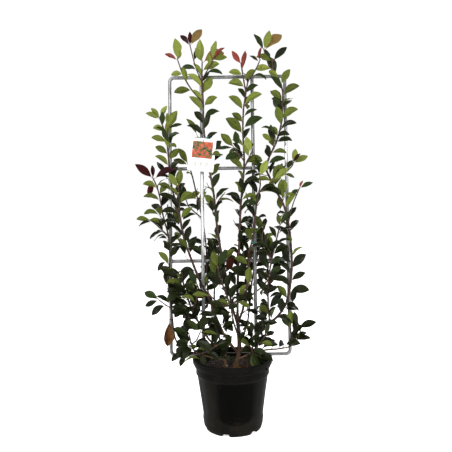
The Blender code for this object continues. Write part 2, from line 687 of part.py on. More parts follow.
def twig_leaves(path, length, name):
    """The leaves of one seeded twig: one along it and the rest near its tip."""
    rng = random.Random(f"{SEED} {name}")
    whole = path_length(path)
    leaves = []
    for i, share in enumerate(TWIG_LEAVES):
        root, along = along_path(path, whole * share)
        angle = math.radians(LEAF_TURN * i + rng.uniform(0, 90))
        lift = math.radians(rng.uniform(*TWIG_LEAF_LIFT) - TWIG_LIFT_FALL * share)
        leaves.append((root, turned(along, angle, lift), length * rng.uniform(*TWIG_LEAF_SIZES),
                       rng.uniform(*LEAF_DROOP), light_side(root.z, rng)))
    return leaves


def first_free(leaf, own, others):
    """The leaf, turned or shortened until it clears the other solids, or None where it never does."""
    root, heading, length, droop, light = leaf
    for own_too in (True, False):
        for swing, scale in TRIES:
            tried = Matrix.Rotation(math.radians(swing), 3, "Z") @ heading
            moved = (root, tried, length * scale, droop, light)
            test = leaf_tree(leaf_shape(moved, LEAF_SWELL, LEAF_MARGIN))
            if any(test.overlap(tree) for tree in others):
                continue
            if own_too and any(test.overlap(tree) for tree in own):
                continue
            return moved
    return None


def tree_of(obj):
    """The object's surface, for telling whether something crosses it."""
    work = bmesh.new()
    work.from_mesh(obj.data)
    work.transform(obj.matrix_world)
    tree = BVHTree.FromBMesh(work)
    work.free()
    return tree


def whole_body(data):
    """Keeps the mesh's largest body and drops loose scraps and sealed hollows."""
    work = bmesh.new()
    work.from_mesh(data)
    unseen = set(work.faces)
    bodies = []
    while unseen:
        body, edge = [], [unseen.pop()]
        while edge:
            face = edge.pop()
            body.append(face)
            near = {other for side in face.edges if side.is_manifold for other in side.link_faces} & unseen
            unseen -= near
            edge.extend(near)
        bodies.append(body)
    bodies.sort(key=len, reverse=True)
    for body in bodies[1:]:
        bmesh.ops.delete(work, geom=body, context="FACES")
    work.to_mesh(data)
    work.free()


def fuse(obj, collection):
    """Joins the collection's solids to the object in one union and removes them."""
    step = obj.modifiers.new("fuse", "BOOLEAN")
    step.operation = "UNION"
    step.operand_type = "COLLECTION"
    step.collection = collection
    step.solver = "MANIFOLD"
    solid = settle(obj)
    for joined in list(collection.objects):
        bpy.data.objects.remove(joined)
    bpy.data.collections.remove(collection)
    whole_body(solid.data)
    return solid


def build_pot(parts, cutters):
    """The pot's wall and floor as one turned shell, with notches round its foot."""
    collar_top = POT_HEIGHT - LIP_HEIGHT
    wall_top = collar_top - COLLAR_HEIGHT
    inner_top = COLLAR_RADIUS - POT_WALL
    inner_heel = HEEL_RADIUS - POT_WALL
    outline = [
        (0, POT_FLOOR), (FOOT_RADIUS - POT_WALL, POT_FLOOR), (inner_heel, HEEL_HEIGHT + POT_WALL),
        (WALL_TOP_RADIUS - POT_WALL, wall_top), (inner_top, wall_top + POT_WALL * 2), (inner_top, POT_HEIGHT),
        (RIM_RADIUS - POT_WALL, POT_HEIGHT), (RIM_RADIUS, POT_HEIGHT - POT_WALL),
        (RIM_RADIUS - LIP_TAPER, collar_top), (COLLAR_RADIUS, collar_top - EDGE_EASE),
        (COLLAR_RADIUS - EDGE_EASE, wall_top + EDGE_EASE), (WALL_TOP_RADIUS, wall_top - EDGE_EASE * 2),
        (HEEL_RADIUS, HEEL_HEIGHT), (FOOT_RADIUS + FOOT_EASE, FOOT_EASE), (FOOT_RADIUS, 0), (0, 0)]
    pot = turned_solid("pot", outline, parts, "pot")
    for i in range(NOTCH_COUNT):
        turn = Matrix.Rotation(2 * math.pi * (i + 0.25) / NOTCH_COUNT, 4, "Z")
        bpy.ops.mesh.primitive_cube_add(size=1)
        notch = as_cutter(bpy.context.object)
        notch.scale = (NOTCH_DEPTH * 2, NOTCH_WIDTH, NOTCH_HEIGHT * 2)
        place = Matrix.Translation((FOOT_RADIUS + NOTCH_INSET, 0, 0))
        notch.matrix_world = turn @ place @ Matrix.Diagonal((*notch.scale, 1))
        move_to(notch, cutters)
        notch.name = f"notch_{i}"
        pot = cut(pot, notch)
    return pot


def move_to(obj, collection):
    for old in obj.users_collection:
        old.objects.unlink(obj)
    collection.objects.link(obj)


def turned_solid(name, outline, collection, look):
    """A closed outline in the XZ plane, turned about +Z."""
    data = bpy.data.meshes.new(name)
    corners = [(x, 0, z) for x, z in outline]
    data.from_pydata(corners, [(i, i + 1) for i in range(len(corners) - 1)], [])
    obj = add_object(name, data, collection, look)
    spin = obj.modifiers.new("turn", "SCREW")
    spin.steps = spin.render_steps = POT_STEPS
    spin.use_merge_vertices = True
    spin.merge_threshold = 0.00001
    return settle(obj)


def build_soil(parts, cutters):
    """The soil that fills the pot, with a hole for each leg of the rack."""
    collar_top = POT_HEIGHT - LIP_HEIGHT
    wall_top = collar_top - COLLAR_HEIGHT
    gap = POT_WALL + CLEAR * 2
    up_the_step = (SOIL_TOP - wall_top) / (POT_WALL * 2)
    top_radius = WALL_TOP_RADIUS + (COLLAR_RADIUS - WALL_TOP_RADIUS) * up_the_step
    outline = [
        (0, SOIL_TOP), (top_radius - gap, SOIL_TOP), (WALL_TOP_RADIUS - gap, wall_top),
        (HEEL_RADIUS - gap, HEEL_HEIGHT + POT_WALL), (FOOT_RADIUS - gap, POT_FLOOR + CLEAR),
        (0, POT_FLOOR + CLEAR)]
    soil = turned_solid("soil", outline, parts, "soil")
    for name, offset in RACK_LEGS.items():
        hole = curve_tube(f"{name}_hole", leg_line(offset, RACK_LEG_FOOT - CLEAR * 2, POT_HEIGHT),
                          [TUBE_RADIUS + CLEAR * 2] * 2, cutters, "soil")
        soil = cut(soil, as_cutter(settle(hole)))
    return soil


def on_rack(x, z, forward=0.0):
    return Vector((RACK_MIDDLE + x, rack_plane(z) - forward, z))


def leg_line(offset, low, high):
    """A leg's centre line, which stands just in front of the bars."""
    ahead = 2 * TUBE_RADIUS + CLEAR
    return [on_rack(offset, low, ahead), on_rack(offset, high, ahead)]


def side_line(side):
    """One side of the rack's outer frame, with its bend at the top and the foot."""
    across = RACK_HALF_WIDTH - RACK_BEND
    line = [on_rack(side * (across - RACK_BEND_END), RACK_FOOT)]
    for z, start in ((RACK_FOOT + RACK_BEND, -90), (RACK_TOP - RACK_BEND, 0)):
        for i in range(RACK_BEND_STEPS):
            turn = math.radians(start + 90 * i / (RACK_BEND_STEPS - 1))
            line.append(on_rack(side * (across + RACK_BEND * math.cos(turn)), z + RACK_BEND * math.sin(turn)))
    return [*line, on_rack(side * (across - RACK_BEND_END), RACK_TOP)]


def build_rack(parts):
    """Two bent sides, four bars between them and two legs in front."""
    tubes = []
    for name, side in (("rack_left_side", -1), ("rack_right_side", 1)):
        line = side_line(side)
        tubes.append(curve_tube(name, line, [TUBE_RADIUS] * len(line), parts, "rack"))
    straight = RACK_HALF_WIDTH - RACK_BEND - RACK_BEND_END - CLEAR
    for name, z in (("rack_bottom_bar", RACK_FOOT), ("rack_top_bar", RACK_TOP)):
        line = [on_rack(-straight, z), on_rack(straight, z)]
        tubes.append(curve_tube(name, line, [TUBE_RADIUS] * 2, parts, "rack"))
    between = RACK_HALF_WIDTH - TUBE_RADIUS - CLEAR
    for name, z in RACK_BARS.items():
        line = [on_rack(-between, z), on_rack(between, z)]
        tubes.append(curve_tube(name, line, [TUBE_RADIUS] * 2, parts, "rack"))
    for name, offset in RACK_LEGS.items():
        line = leg_line(offset, RACK_LEG_FOOT, RACK_LEG_TOP)
        tubes.append(curve_tube(name, line, [TUBE_RADIUS] * 2, parts, "rack"))
    return [settle(tube) for tube in tubes]


def build_tie(name, leg, stem_at, stem_radius, parts):
    """A thin tie that goes once round a leg and the stem in front of it."""
    z = stem_at.z
    centres = (on_rack(leg, z, 2 * TUBE_RADIUS + CLEAR), stem_at)
    radii = (TUBE_RADIUS + TIE_RADIUS + TIE_SLACK, stem_radius + TIE_RADIUS + TIE_SLACK)
    apart = centres[1] - centres[0]
    facing = math.atan2(apart.y, apart.x)
    lean = math.acos((radii[0] - radii[1]) / math.hypot(apart.x, apart.y))
    line = []
    for centre, radius, start, sweep in (
            (centres[0], radii[0], facing + lean, 2 * (math.pi - lean)),
            (centres[1], radii[1], facing - lean, 2 * lean)):
        for i in range(TIE_STEPS):
            turn = start + sweep * i / (TIE_STEPS - 1)
            line.append(Vector((centre.x + radius * math.cos(turn), centre.y + radius * math.sin(turn), z)))
    data = bpy.data.curves.new(name, "CURVE")
    data.dimensions = "3D"
    data.bevel_depth = TIE_RADIUS
    data.bevel_resolution = 0
    loop = data.splines.new("POLY")
    loop.points.add(len(line) - 1)
    for slot, point in zip(loop.points, line):
        slot.co = (*point, 1)
    loop.use_cyclic_u = True
    return settle(add_object(name, data, parts, "tie"))


def build_ties(parts):
    """Two ties that hold stems to the legs, where TIES names them."""
    ties = []
    for name, (leg, mass, z) in TIES.items():
        stem = MASSES[mass].stems[0]
        path = smooth_path([placed(p) for p in stem.points], STEM_STEP)
        share = (z - path[0].z) / (path[-1].z - path[0].z)
        radius = stem.foot + (TIP_RADIUS - stem.foot) * share
        ties.append(build_tie(name, RACK_LEGS[leg], height_on(path, z), radius, parts))
    return ties


def build_tag(parts):
    """A flat card with rounded corners, turned a little in its own plane."""
    data = bpy.data.curves.new("tag", "CURVE")
    data.dimensions = "2D"
    data.fill_mode = "BOTH"
    data.extrude = TAG_THICKNESS / 2
    outline = []
    for x, z, start in ((1, 1, 0), (-1, 1, 90), (-1, -1, 180), (1, -1, 270)):
        for step in range(TAG_CORNER_STEPS):
            turn = math.radians(start + 90 * step / (TAG_CORNER_STEPS - 1))
            outline.append((x * (TAG_WIDTH / 2 - TAG_CORNER) + TAG_CORNER * math.cos(turn),
                            z * (TAG_HEIGHT / 2 - TAG_CORNER) + TAG_CORNER * math.sin(turn)))
    line = data.splines.new("POLY")
    line.points.add(len(outline) - 1)
    for slot, point in zip(line.points, outline):
        slot.co = (*point, 0, 1)
    line.use_cyclic_u = True
    tag = add_object("tag", data, parts, "card")
    upright = Matrix.Rotation(math.radians(90) - RACK_LEAN, 4, "X")
    turned_back = Matrix.Rotation(TAG_TURN, 4, "Z") @ Matrix.Translation((0, -TAG_HEIGHT / 2, 0))
    tag.matrix_world = Matrix.Translation(placed(TAG_TOP_MIDDLE)) @ upright @ turned_back
    return settle(tag)


def limb_tube(name, limb, line, parts, swell=0.0):
    radii = [r + swell for r in taper(limb.foot, limb.tip, len(line), limb.flare)]
    return settle(curve_tube(name, line, radii, parts, "bark"))


def build_limbs(parts, cutters):
    """Each trunk from a flat cut on the soil, and each bough cut clear of the limb that carries it."""
    collars = {}
    limbs = {}
    for name, limb in LIMBS.items():
        line = smooth_path([placed(p) for p in limb.points], LIMB_STEP)
        solid = limb_tube(name, limb, line, parts)
        if limb.parent:
            solid = cut(solid, collars[limb.parent])
        else:
            level_foot(solid, SOIL_TOP + CLEAR)
        beyond = (line[-1] - line[-2]).normalized() * COLLAR
        collar = limb_tube(f"{name}_collar", limb, [*line[:-1], line[-1] + beyond], cutters, COLLAR)
        collars[name] = as_cutter(collar)
        limbs[name] = solid
    return limbs, collars


def build_mass_stems(name, mass, collars, parts):
    """A mass's main stem, cut clear of its limb, and its side stems waiting to be joined."""
    paths = stem_paths(mass)
    radii = taper(mass.stems[0].foot, TIP_RADIUS * 1.2, len(paths[0]))
    body = add_object(name, twig_mesh(name, paths[0], radii, STEM_SIDES), parts, "leaf")
    body = cut(body, collars[mass.limb])
    joined = new_collection(f"{name}_joined")
    for i, (stem, path) in enumerate(zip(mass.stems[1:], paths[1:])):
        radii = taper(stem.foot, TIP_RADIUS, len(path))
        add_object(f"{name}_side_{i}", twig_mesh("side", path, radii, TWIG_SIDES), joined, "leaf")
    return body, joined, paths


def build_twigs(name, mass, stems, others):
    """Adds the seeded twigs that find room, and gives their paths."""
    joined, paths = stems[1], stems[2]
    found = {}
    for i, path in enumerate(twig_paths(mass, paths[0], name)):
        radii = taper(TIP_RADIUS * 1.5, TIP_RADIUS, len(path))
        twig = add_object(f"{name}_twig_{i}", twig_mesh("twig", path, radii, TWIG_SIDES), joined, "leaf")
        if any(tree_of(twig).overlap(tree) for tree in others):
            bpy.data.objects.remove(twig)
        else:
            found[i] = path
    return found


def build_leaves(name, mass, stems, twigs, others):
    """Adds the leaves that find room, joins the mass into one body and gives the leaves' surfaces."""
    body, joined, paths = stems
    wanted = []
    for i, (stem, path) in enumerate(zip(mass.stems, paths)):
        wanted += stem_leaves(path, stem, f"{name} stem {i}")
    for i, path in twigs.items():
        wanted += twig_leaves(path, mass.stems[0].leaf, f"{name} twig {i}")
    own = []
    for i, leaf in enumerate(wanted):
        found = first_free(leaf, own, others)
        if not found:
            continue
        shape = leaf_shape(found)
        own.append(leaf_tree(shape))
        data = bpy.data.meshes.new("leaf")
        data.from_pydata(*[[tuple(c) for c in shape[0]], [], shape[1]])
        add_object(f"{name}_leaf_{i}", data, joined, "leaf")
    fuse(body, joined)
    return own


def main():
    clear_scene()
    parts = new_collection("potted_photinia")
    cutters = new_collection("cutters")
    solids = [build_pot(parts, cutters), build_soil(parts, cutters)]
    solids += build_rack(parts)
    limbs, collars = build_limbs(parts, cutters)
    solids += limbs.values()
    solids.append(build_tag(parts))
    solids += build_ties(parts)
    fixed = [tree_of(solid) for solid in solids]
    stems = {name: build_mass_stems(name, mass, collars, parts) for name, mass in MASSES.items()}
    grown = {name: [tree_of(body), *map(tree_of, joined.objects)]
             for name, (body, joined, _) in stems.items()}
    twigs = {}
    for name, mass in MASSES.items():
        others = fixed + [tree for other, trees in grown.items() if other != name for tree in trees]
        twigs[name] = build_twigs(name, mass, stems[name], others)
        grown[name] = [tree_of(stems[name][0]), *map(tree_of, stems[name][1].objects)]
    for name, mass in MASSES.items():
        others = fixed + [tree for other, trees in grown.items() if other != name for tree in trees]
        grown[name] += build_leaves(name, mass, stems[name], twigs[name], others)


main()
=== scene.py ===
"""A potted photinia fanned out on a tube rack, dressed with leaves, bark, plastic, zinc and soil."""

import json
import math
import random
from dataclasses import dataclass

import bmesh
import bpy
import numpy as np
from mathutils import Matrix, Vector, noise
from mathutils.bvhtree import BVHTree
from mathutils.kdtree import KDTree

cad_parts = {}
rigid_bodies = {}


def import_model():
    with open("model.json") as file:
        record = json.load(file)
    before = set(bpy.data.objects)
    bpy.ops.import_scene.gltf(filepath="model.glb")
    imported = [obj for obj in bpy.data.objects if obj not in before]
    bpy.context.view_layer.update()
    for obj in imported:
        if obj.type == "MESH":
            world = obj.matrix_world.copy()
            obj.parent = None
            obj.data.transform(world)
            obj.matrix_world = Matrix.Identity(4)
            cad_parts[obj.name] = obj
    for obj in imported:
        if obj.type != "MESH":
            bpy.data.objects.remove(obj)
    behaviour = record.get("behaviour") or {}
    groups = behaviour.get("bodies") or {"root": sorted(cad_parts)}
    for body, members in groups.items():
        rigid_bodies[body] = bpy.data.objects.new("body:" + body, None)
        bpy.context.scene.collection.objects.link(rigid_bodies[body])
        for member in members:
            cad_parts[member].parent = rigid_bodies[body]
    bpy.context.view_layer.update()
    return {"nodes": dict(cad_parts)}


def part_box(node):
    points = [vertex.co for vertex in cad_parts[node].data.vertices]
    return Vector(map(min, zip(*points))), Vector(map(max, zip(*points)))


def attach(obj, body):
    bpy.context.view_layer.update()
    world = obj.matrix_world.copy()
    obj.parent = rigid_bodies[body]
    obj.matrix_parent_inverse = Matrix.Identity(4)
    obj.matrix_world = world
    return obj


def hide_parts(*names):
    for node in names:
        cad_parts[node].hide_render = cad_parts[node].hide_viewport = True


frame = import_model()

# Pot, soil and tubes, as in the source
CLEAR = 0.0003
POT_HEIGHT = 0.2395
RIM_RADIUS = 0.140
LIP_HEIGHT = 0.018
COLLAR_RADIUS = 0.1345
COLLAR_HEIGHT = 0.011
WALL_TOP_RADIUS = 0.1275
HEEL_RADIUS = 0.1035
HEEL_HEIGHT = 0.020
FOOT_RADIUS = 0.0925
POT_WALL = 0.0025
POT_FLOOR = 0.004
NOTCH_COUNT = 6
NOTCH_WIDTH = 0.024
NOTCH_HEIGHT = 0.011
COLLAR_TOP = POT_HEIGHT - LIP_HEIGHT
WALL_TOP = COLLAR_TOP - COLLAR_HEIGHT
POT_LEDGE = WALL_TOP - 0.023
POT_ROUND = 192
WALL_ROWS = 26
HEEL_ROWS = 5
FLUTE_COUNT = 4
FLUTE_MIDDLE = math.radians(-85)
FLUTE_FLAT = math.radians(22.5)
FLUTE_SLOPE = math.radians(19)
FLUTE_DEPTH = 0.0032
FLUTE_FOOT = 0.034
FLUTE_EDGE = 0.012
POT_WARP = 0.0005
SOIL_TOP = 0.215
SOIL_RINGS = 46
SOIL_TURNS = 120
TUBE_RADIUS = 0.00625
TUBE_WALL = 0.0012
TUBE_LIP = 0.0004
TUBE_BORE = 0.012
SIDE_JOIN = 0.0042
BAR_JOIN = 0.004
BEND_STEPS = 12
SIDE_STEPS = 12
BAR_STEPS = 40
LEG_STEPS = 48

# Welds: lumps round a bar's end, and rows of lumps at a leg, each with its half length and its radii
WELD_LUMPS = 14
LUMP_HALVES = (0.0021, 0.0010)
LUMP_RADII = (0.0006, 0.0013, 0.0012)
ROW_LUMPS = 6
ROW_STEP = 0.0022
ROW_OFF = (0.0026, 0.0002)
ROW_HALF = 0.0016
ROW_RADII = (0.0008, 0.0020)

# Rack, tag and ties, as in the source
RACK_MIDDLE = -0.006
RACK_HALF_WIDTH = 0.210
RACK_FOOT = 0.2465
RACK_TOP = 1.2445
RACK_BARS = {"rack_lower_bar": 0.576, "rack_upper_bar": 0.9085}
RACK_LEGS = {"rack_left_leg": -0.094, "rack_right_leg": 0.090}
RACK_LEG_TOP = RACK_TOP + 0.016
RACK_LEG_FOOT = 0.110
RACK_BEND = 0.016
RACK_DEPTH = 0.004
RACK_LEAN = math.radians(2.67)
TAG_WIDTH = 0.092
TAG_HEIGHT = 0.118
TAG_THICKNESS = 0.0009
TAG_CORNER = 0.003
TAG_TOP_MIDDLE = (-0.092, 0.0353, 1.0115)
TAG_TURN = math.radians(-6.5)
TIE_RADIUS = 0.0011
TIE_SLACK = 0.0008
TIES = {
    "upper_tie": ("rack_left_leg", "left_centre_foliage", 1.0127),
    "lower_tie": ("rack_right_leg", "right_centre_foliage", 0.640),
}
TIE_STEPS = 16
TIE_ROUND = 8
STRAND_STEP = 0.002
TIE_STRAND = 0.8
TIE_TAILS = (
    ((0.000, -0.0008, 0.0004), (0.004, -0.0022, 0.002), (0.009, -0.0020, 0.0015), (0.014, -0.001, -0.001)),
    ((0.000, -0.0008, -0.0004), (0.004, -0.0030, 0.000), (0.008, -0.0015, 0.0035), (0.012, -0.002, 0.006)),
)

# The source's rule for leaves and twigs
LEAF_WIDTH = 0.46
LEAF_THICKNESS = 0.016
LEAF_STEPS = 8
LEAF_ROOT = 0.0006
LEAF_TURN = 180
ROOT_SUNK = 0.004
LEAF_CYCLE = 4
LEAVES_KEPT = (0, 3)
LEAF_SPREAD = 32
LEAF_LIFT = (24, 44)
LIFT_FALL = 6
LEAF_SIZES = (0.84, 1.12)
TIP_SHORTENING = 0.12
LEAF_DROOP = (0.7, 1.3)
FAN_DROOP = (0.1, 0.4)
FAN_DEPTH = 0.3
FAN_TWIST = 0.45
LIGHT_SPREAD = 0.35
LIGHT_TURN = 1.05
LIGHT_UP = 0.75
TURN_HEIGHT = 0.72
TURN_BAND = 0.22
TRIES = ((0, 1.0), (22, 1.0), (-22, 1.0), (44, 0.95), (-44, 0.95), (12, 0.8), (-12, 0.8))
TWIG_LEAVES = (0.5, 0.92)
TWIG_FIRST = 0.06
TWIG_SPAN = 0.66
TWIG_LIFT = (42, 60)
TWIG_REACH = (0.8, 1.15)
TWIG_BEND = 0.55
TWIG_RISE = 0.6
TWIG_LEAF_LIFT = (34, 60)
TWIG_LIFT_FALL = 20
TWIG_LEAF_SIZES = (0.78, 1.05)
STEM_STEP = 0.034
TIP_RADIUS = 0.0011
SEED = 7

# Finer detail than the source has
CAMERA_PLACE = (-0.0028, -1.6, 0.6791)
MATCH = 0.0004
FINE_STEP = 0.004
STEM_ROUND = 8
LIMB_ROUND = 20
TUBE_ROUND = 24
PETIOLE_STEPS = 3
BLADE_ROWS = 23
BLADE_COLUMNS = (-1.0, -0.55, -0.07, 0.0, 0.07, 0.55, 1.0)
BLADE_WIDTH = (0.34, 0.43)
BLADE_THICKNESS = 0.00045
TEETH = 0.00025
REACH_PAST = 0.010
STEM_SWELL = 1.2
SIDE_STEM_SWELL = 1.45
SHOWN_UNDER = (0.09, 0.54)
FACING = (0.45, 1.25)
FACING_ACROSS = 0.5
FACE_ON_LIGHT = (0.1, -1.0, 0.3)

# Swellings as a share of the radius and a width, ridges, tips and buds
NODE_SWELL = (0.22, 0.0026)
LIMB_SWELL = (0.07, 0.003)
COLLAR_SWELL = 0.35
FLARE_LOBES = 0.16
RIDGES = 0.07
FINE_RIDGES = 0.035
STEM_TIP = 2.2
SIDE_STEM_TIP = 1.9
SIDE_STEM_ROOT = (1.5, 1.25, 1.1)
TWIG_TAPER = (1.35, 0.8)
END_SHRINK = 0.3
BUD_SIZE = 0.0022
BUD_LEAN = 24
BUD_OFF = 60
BUD_LENGTH = 2.6
BUD_RADII = (0.35, 0.5, 0.36, 0.05)
BUD_ABOVE = 0.003
TIP_BUD = (-0.002, 0.003, 0.006, 0.009)
TIP_BUD_RADII = (0.0011, 0.0017, 0.0012, 0.0002)
WITHERED_STEM = ("far_left_foliage", 3)

# How a blade folds, cups, waves, twists and bows, and its midrib and petiole
BLADE_FOLD = (0.16, 0.50)
YOUNG_FOLD = 0.35
BLADE_CUP = (0.0, 0.22)
BLADE_WAVE = (0.004, 0.016)
BLADE_RIPPLES = (1.4, 2.8)
BLADE_TURN = 0.3
BLADE_BOW = 0.06
WITHERED_SHAPE = (0.55, -0.3, 0.25)
WITHERED_WAVE = 0.03
RIB_SUNK = 0.0002
RIB_THICKNESS = 0.0006
PETIOLE_UNDER = 0.0003
PETIOLE_RADIUS = 0.0105

# The plain stand-in that tells whether a leaf crosses anything, and the turns tried for a free place
CARD_STEPS = 10
CARD_SHARES = (0.14, 0.34, 0.56, 0.78, 1.0)
CARD_WIDTHS = (0.05, 0.75, 1.0, 0.72, 0.05)
CARD_MARGIN = 1.06
MORE_TRIES = (*TRIES, (66, 0.9), (-66, 0.9), (90, 0.85), (-90, 0.85), (30, 0.7), (-30, 0.7))

# How young a leaf is by its share of the stem and its height, and how many of the young are fresh or pale
YOUNG_BY_SHARE = 0.55
YOUNG_BY_HEIGHT = 0.8
YOUNG_ABOVE = 0.6
TWIG_YOUTH = 0.3
FRESH_RATE = 0.85
PALE_RATE = 0.55
PALE_FROM = 0.55


@dataclass
class Limb:
    """A bare stem: way-points as (x, distance in front of the rack's plane, z), and its radii."""

    points: tuple
    foot: float
    tip: float
    parent: str = ""
    flare: float = 1.0


@dataclass
class Stem:
    """A leafy stem: way-points as for a limb, and the rule for its leaves.

    A side stem springs from its mass's main stem at height springs_at. fan holds the bearing from
    upright, in degrees to the right, and the length of each leaf at the tip.
    """

    points: tuple
    foot: float
    gap: float = 0.021
    leaf: float = 0.074
    first: int = 0
    bare: float = 0.01
    springs_at: float = 0.0
    fan: tuple = ()


@dataclass
class Mass:
    """One mass of foliage: the limb that carries it, its stems and its seeded side twigs."""

    limb: str
    stems: tuple
    twigs: int = 0
    twig_length: float = 0.05


LIMBS = {
    "main_trunk": Limb(
        ((0.012, 0.038, SOIL_TOP), (0.024, 0.032, 0.275), (0.022, 0.024, 0.345), (0.0195, 0.021, 0.392)),
        0.0085, 0.0058, flare=1.35),
    "left_trunk": Limb(
        ((-0.024, 0.040, SOIL_TOP), (-0.026, 0.036, 0.238), (-0.025, 0.034, 0.266)),
        0.0062, 0.0048, flare=1.3),
    "centre_bough": Limb(
        ((0.0200, 0.0215, 0.382), (0.0205, 0.022, 0.430), (0.022, 0.024, 0.490)),
        0.0044, 0.0038, "main_trunk"),
    "left_centre_bough": Limb(
        ((0.022, 0.024, 0.346), (0.0085, 0.028, 0.392), (-0.002, 0.030, 0.436), (-0.010, 0.030, 0.480)),
        0.0042, 0.0037, "main_trunk"),
    "right_centre_bough": Limb(
        ((0.022, 0.023, 0.362), (0.037, 0.027, 0.402), (0.048, 0.029, 0.450), (0.054, 0.030, 0.495)),
        0.0042, 0.0034, "main_trunk"),
    "right_bough": Limb(
        ((0.023, 0.032, 0.262), (0.052, 0.034, 0.286), (0.090, 0.032, 0.322), (0.131, 0.028, 0.358),
         (0.165, 0.024, 0.388), (0.193, 0.021, 0.428)),
        0.0052, 0.0040, "main_trunk"),
    "left_bough": Limb(
        ((0.022, 0.033, 0.258), (-0.004, 0.040, 0.290), (-0.030, 0.044, 0.330), (-0.056, 0.042, 0.389),
         (-0.080, 0.036, 0.450), (-0.107, 0.032, 0.501)),
        0.0048, 0.0036, "main_trunk"),
    "lower_left_bough": Limb(
        ((-0.025, 0.034, 0.262), (-0.052, 0.032, 0.281), (-0.082, 0.030, 0.308), (-0.106, 0.028, 0.348),
         (-0.130, 0.024, 0.388)),
        0.0040, 0.0032, "left_trunk"),
    "far_left_bough": Limb(
        ((-0.026, 0.038, 0.236), (-0.070, 0.052, 0.250), (-0.125, 0.044, 0.262), (-0.172, 0.028, 0.274),
         (-0.198, 0.020, 0.306), (-0.207, 0.018, 0.356)),
        0.0036, 0.0028, "left_trunk"),
    "low_right_bough": Limb(
        ((0.016, 0.037, 0.238), (0.060, 0.044, 0.258), (0.110, 0.036, 0.269), (0.160, 0.028, 0.271),
         (0.198, 0.024, 0.276)),
        0.0036, 0.0026, "main_trunk"),
    "front_bough": Limb(
        ((0.023, 0.032, 0.300), (0.018, 0.056, 0.330), (0.006, 0.078, 0.372), (-0.002, 0.090, 0.420)),
        0.0034, 0.0026, "main_trunk"),
    "back_left_bough": Limb(
        ((-0.026, 0.037, 0.240), (-0.036, 0.006, 0.272), (-0.050, -0.028, 0.316), (-0.060, -0.052, 0.375)),
        0.0036, 0.0028, "left_trunk"),
    "back_right_bough": Limb(
        ((0.024, 0.031, 0.284), (0.038, 0.004, 0.312), (0.056, -0.030, 0.352), (0.066, -0.054, 0.410)),
        0.0036, 0.0028, "main_trunk"),
}

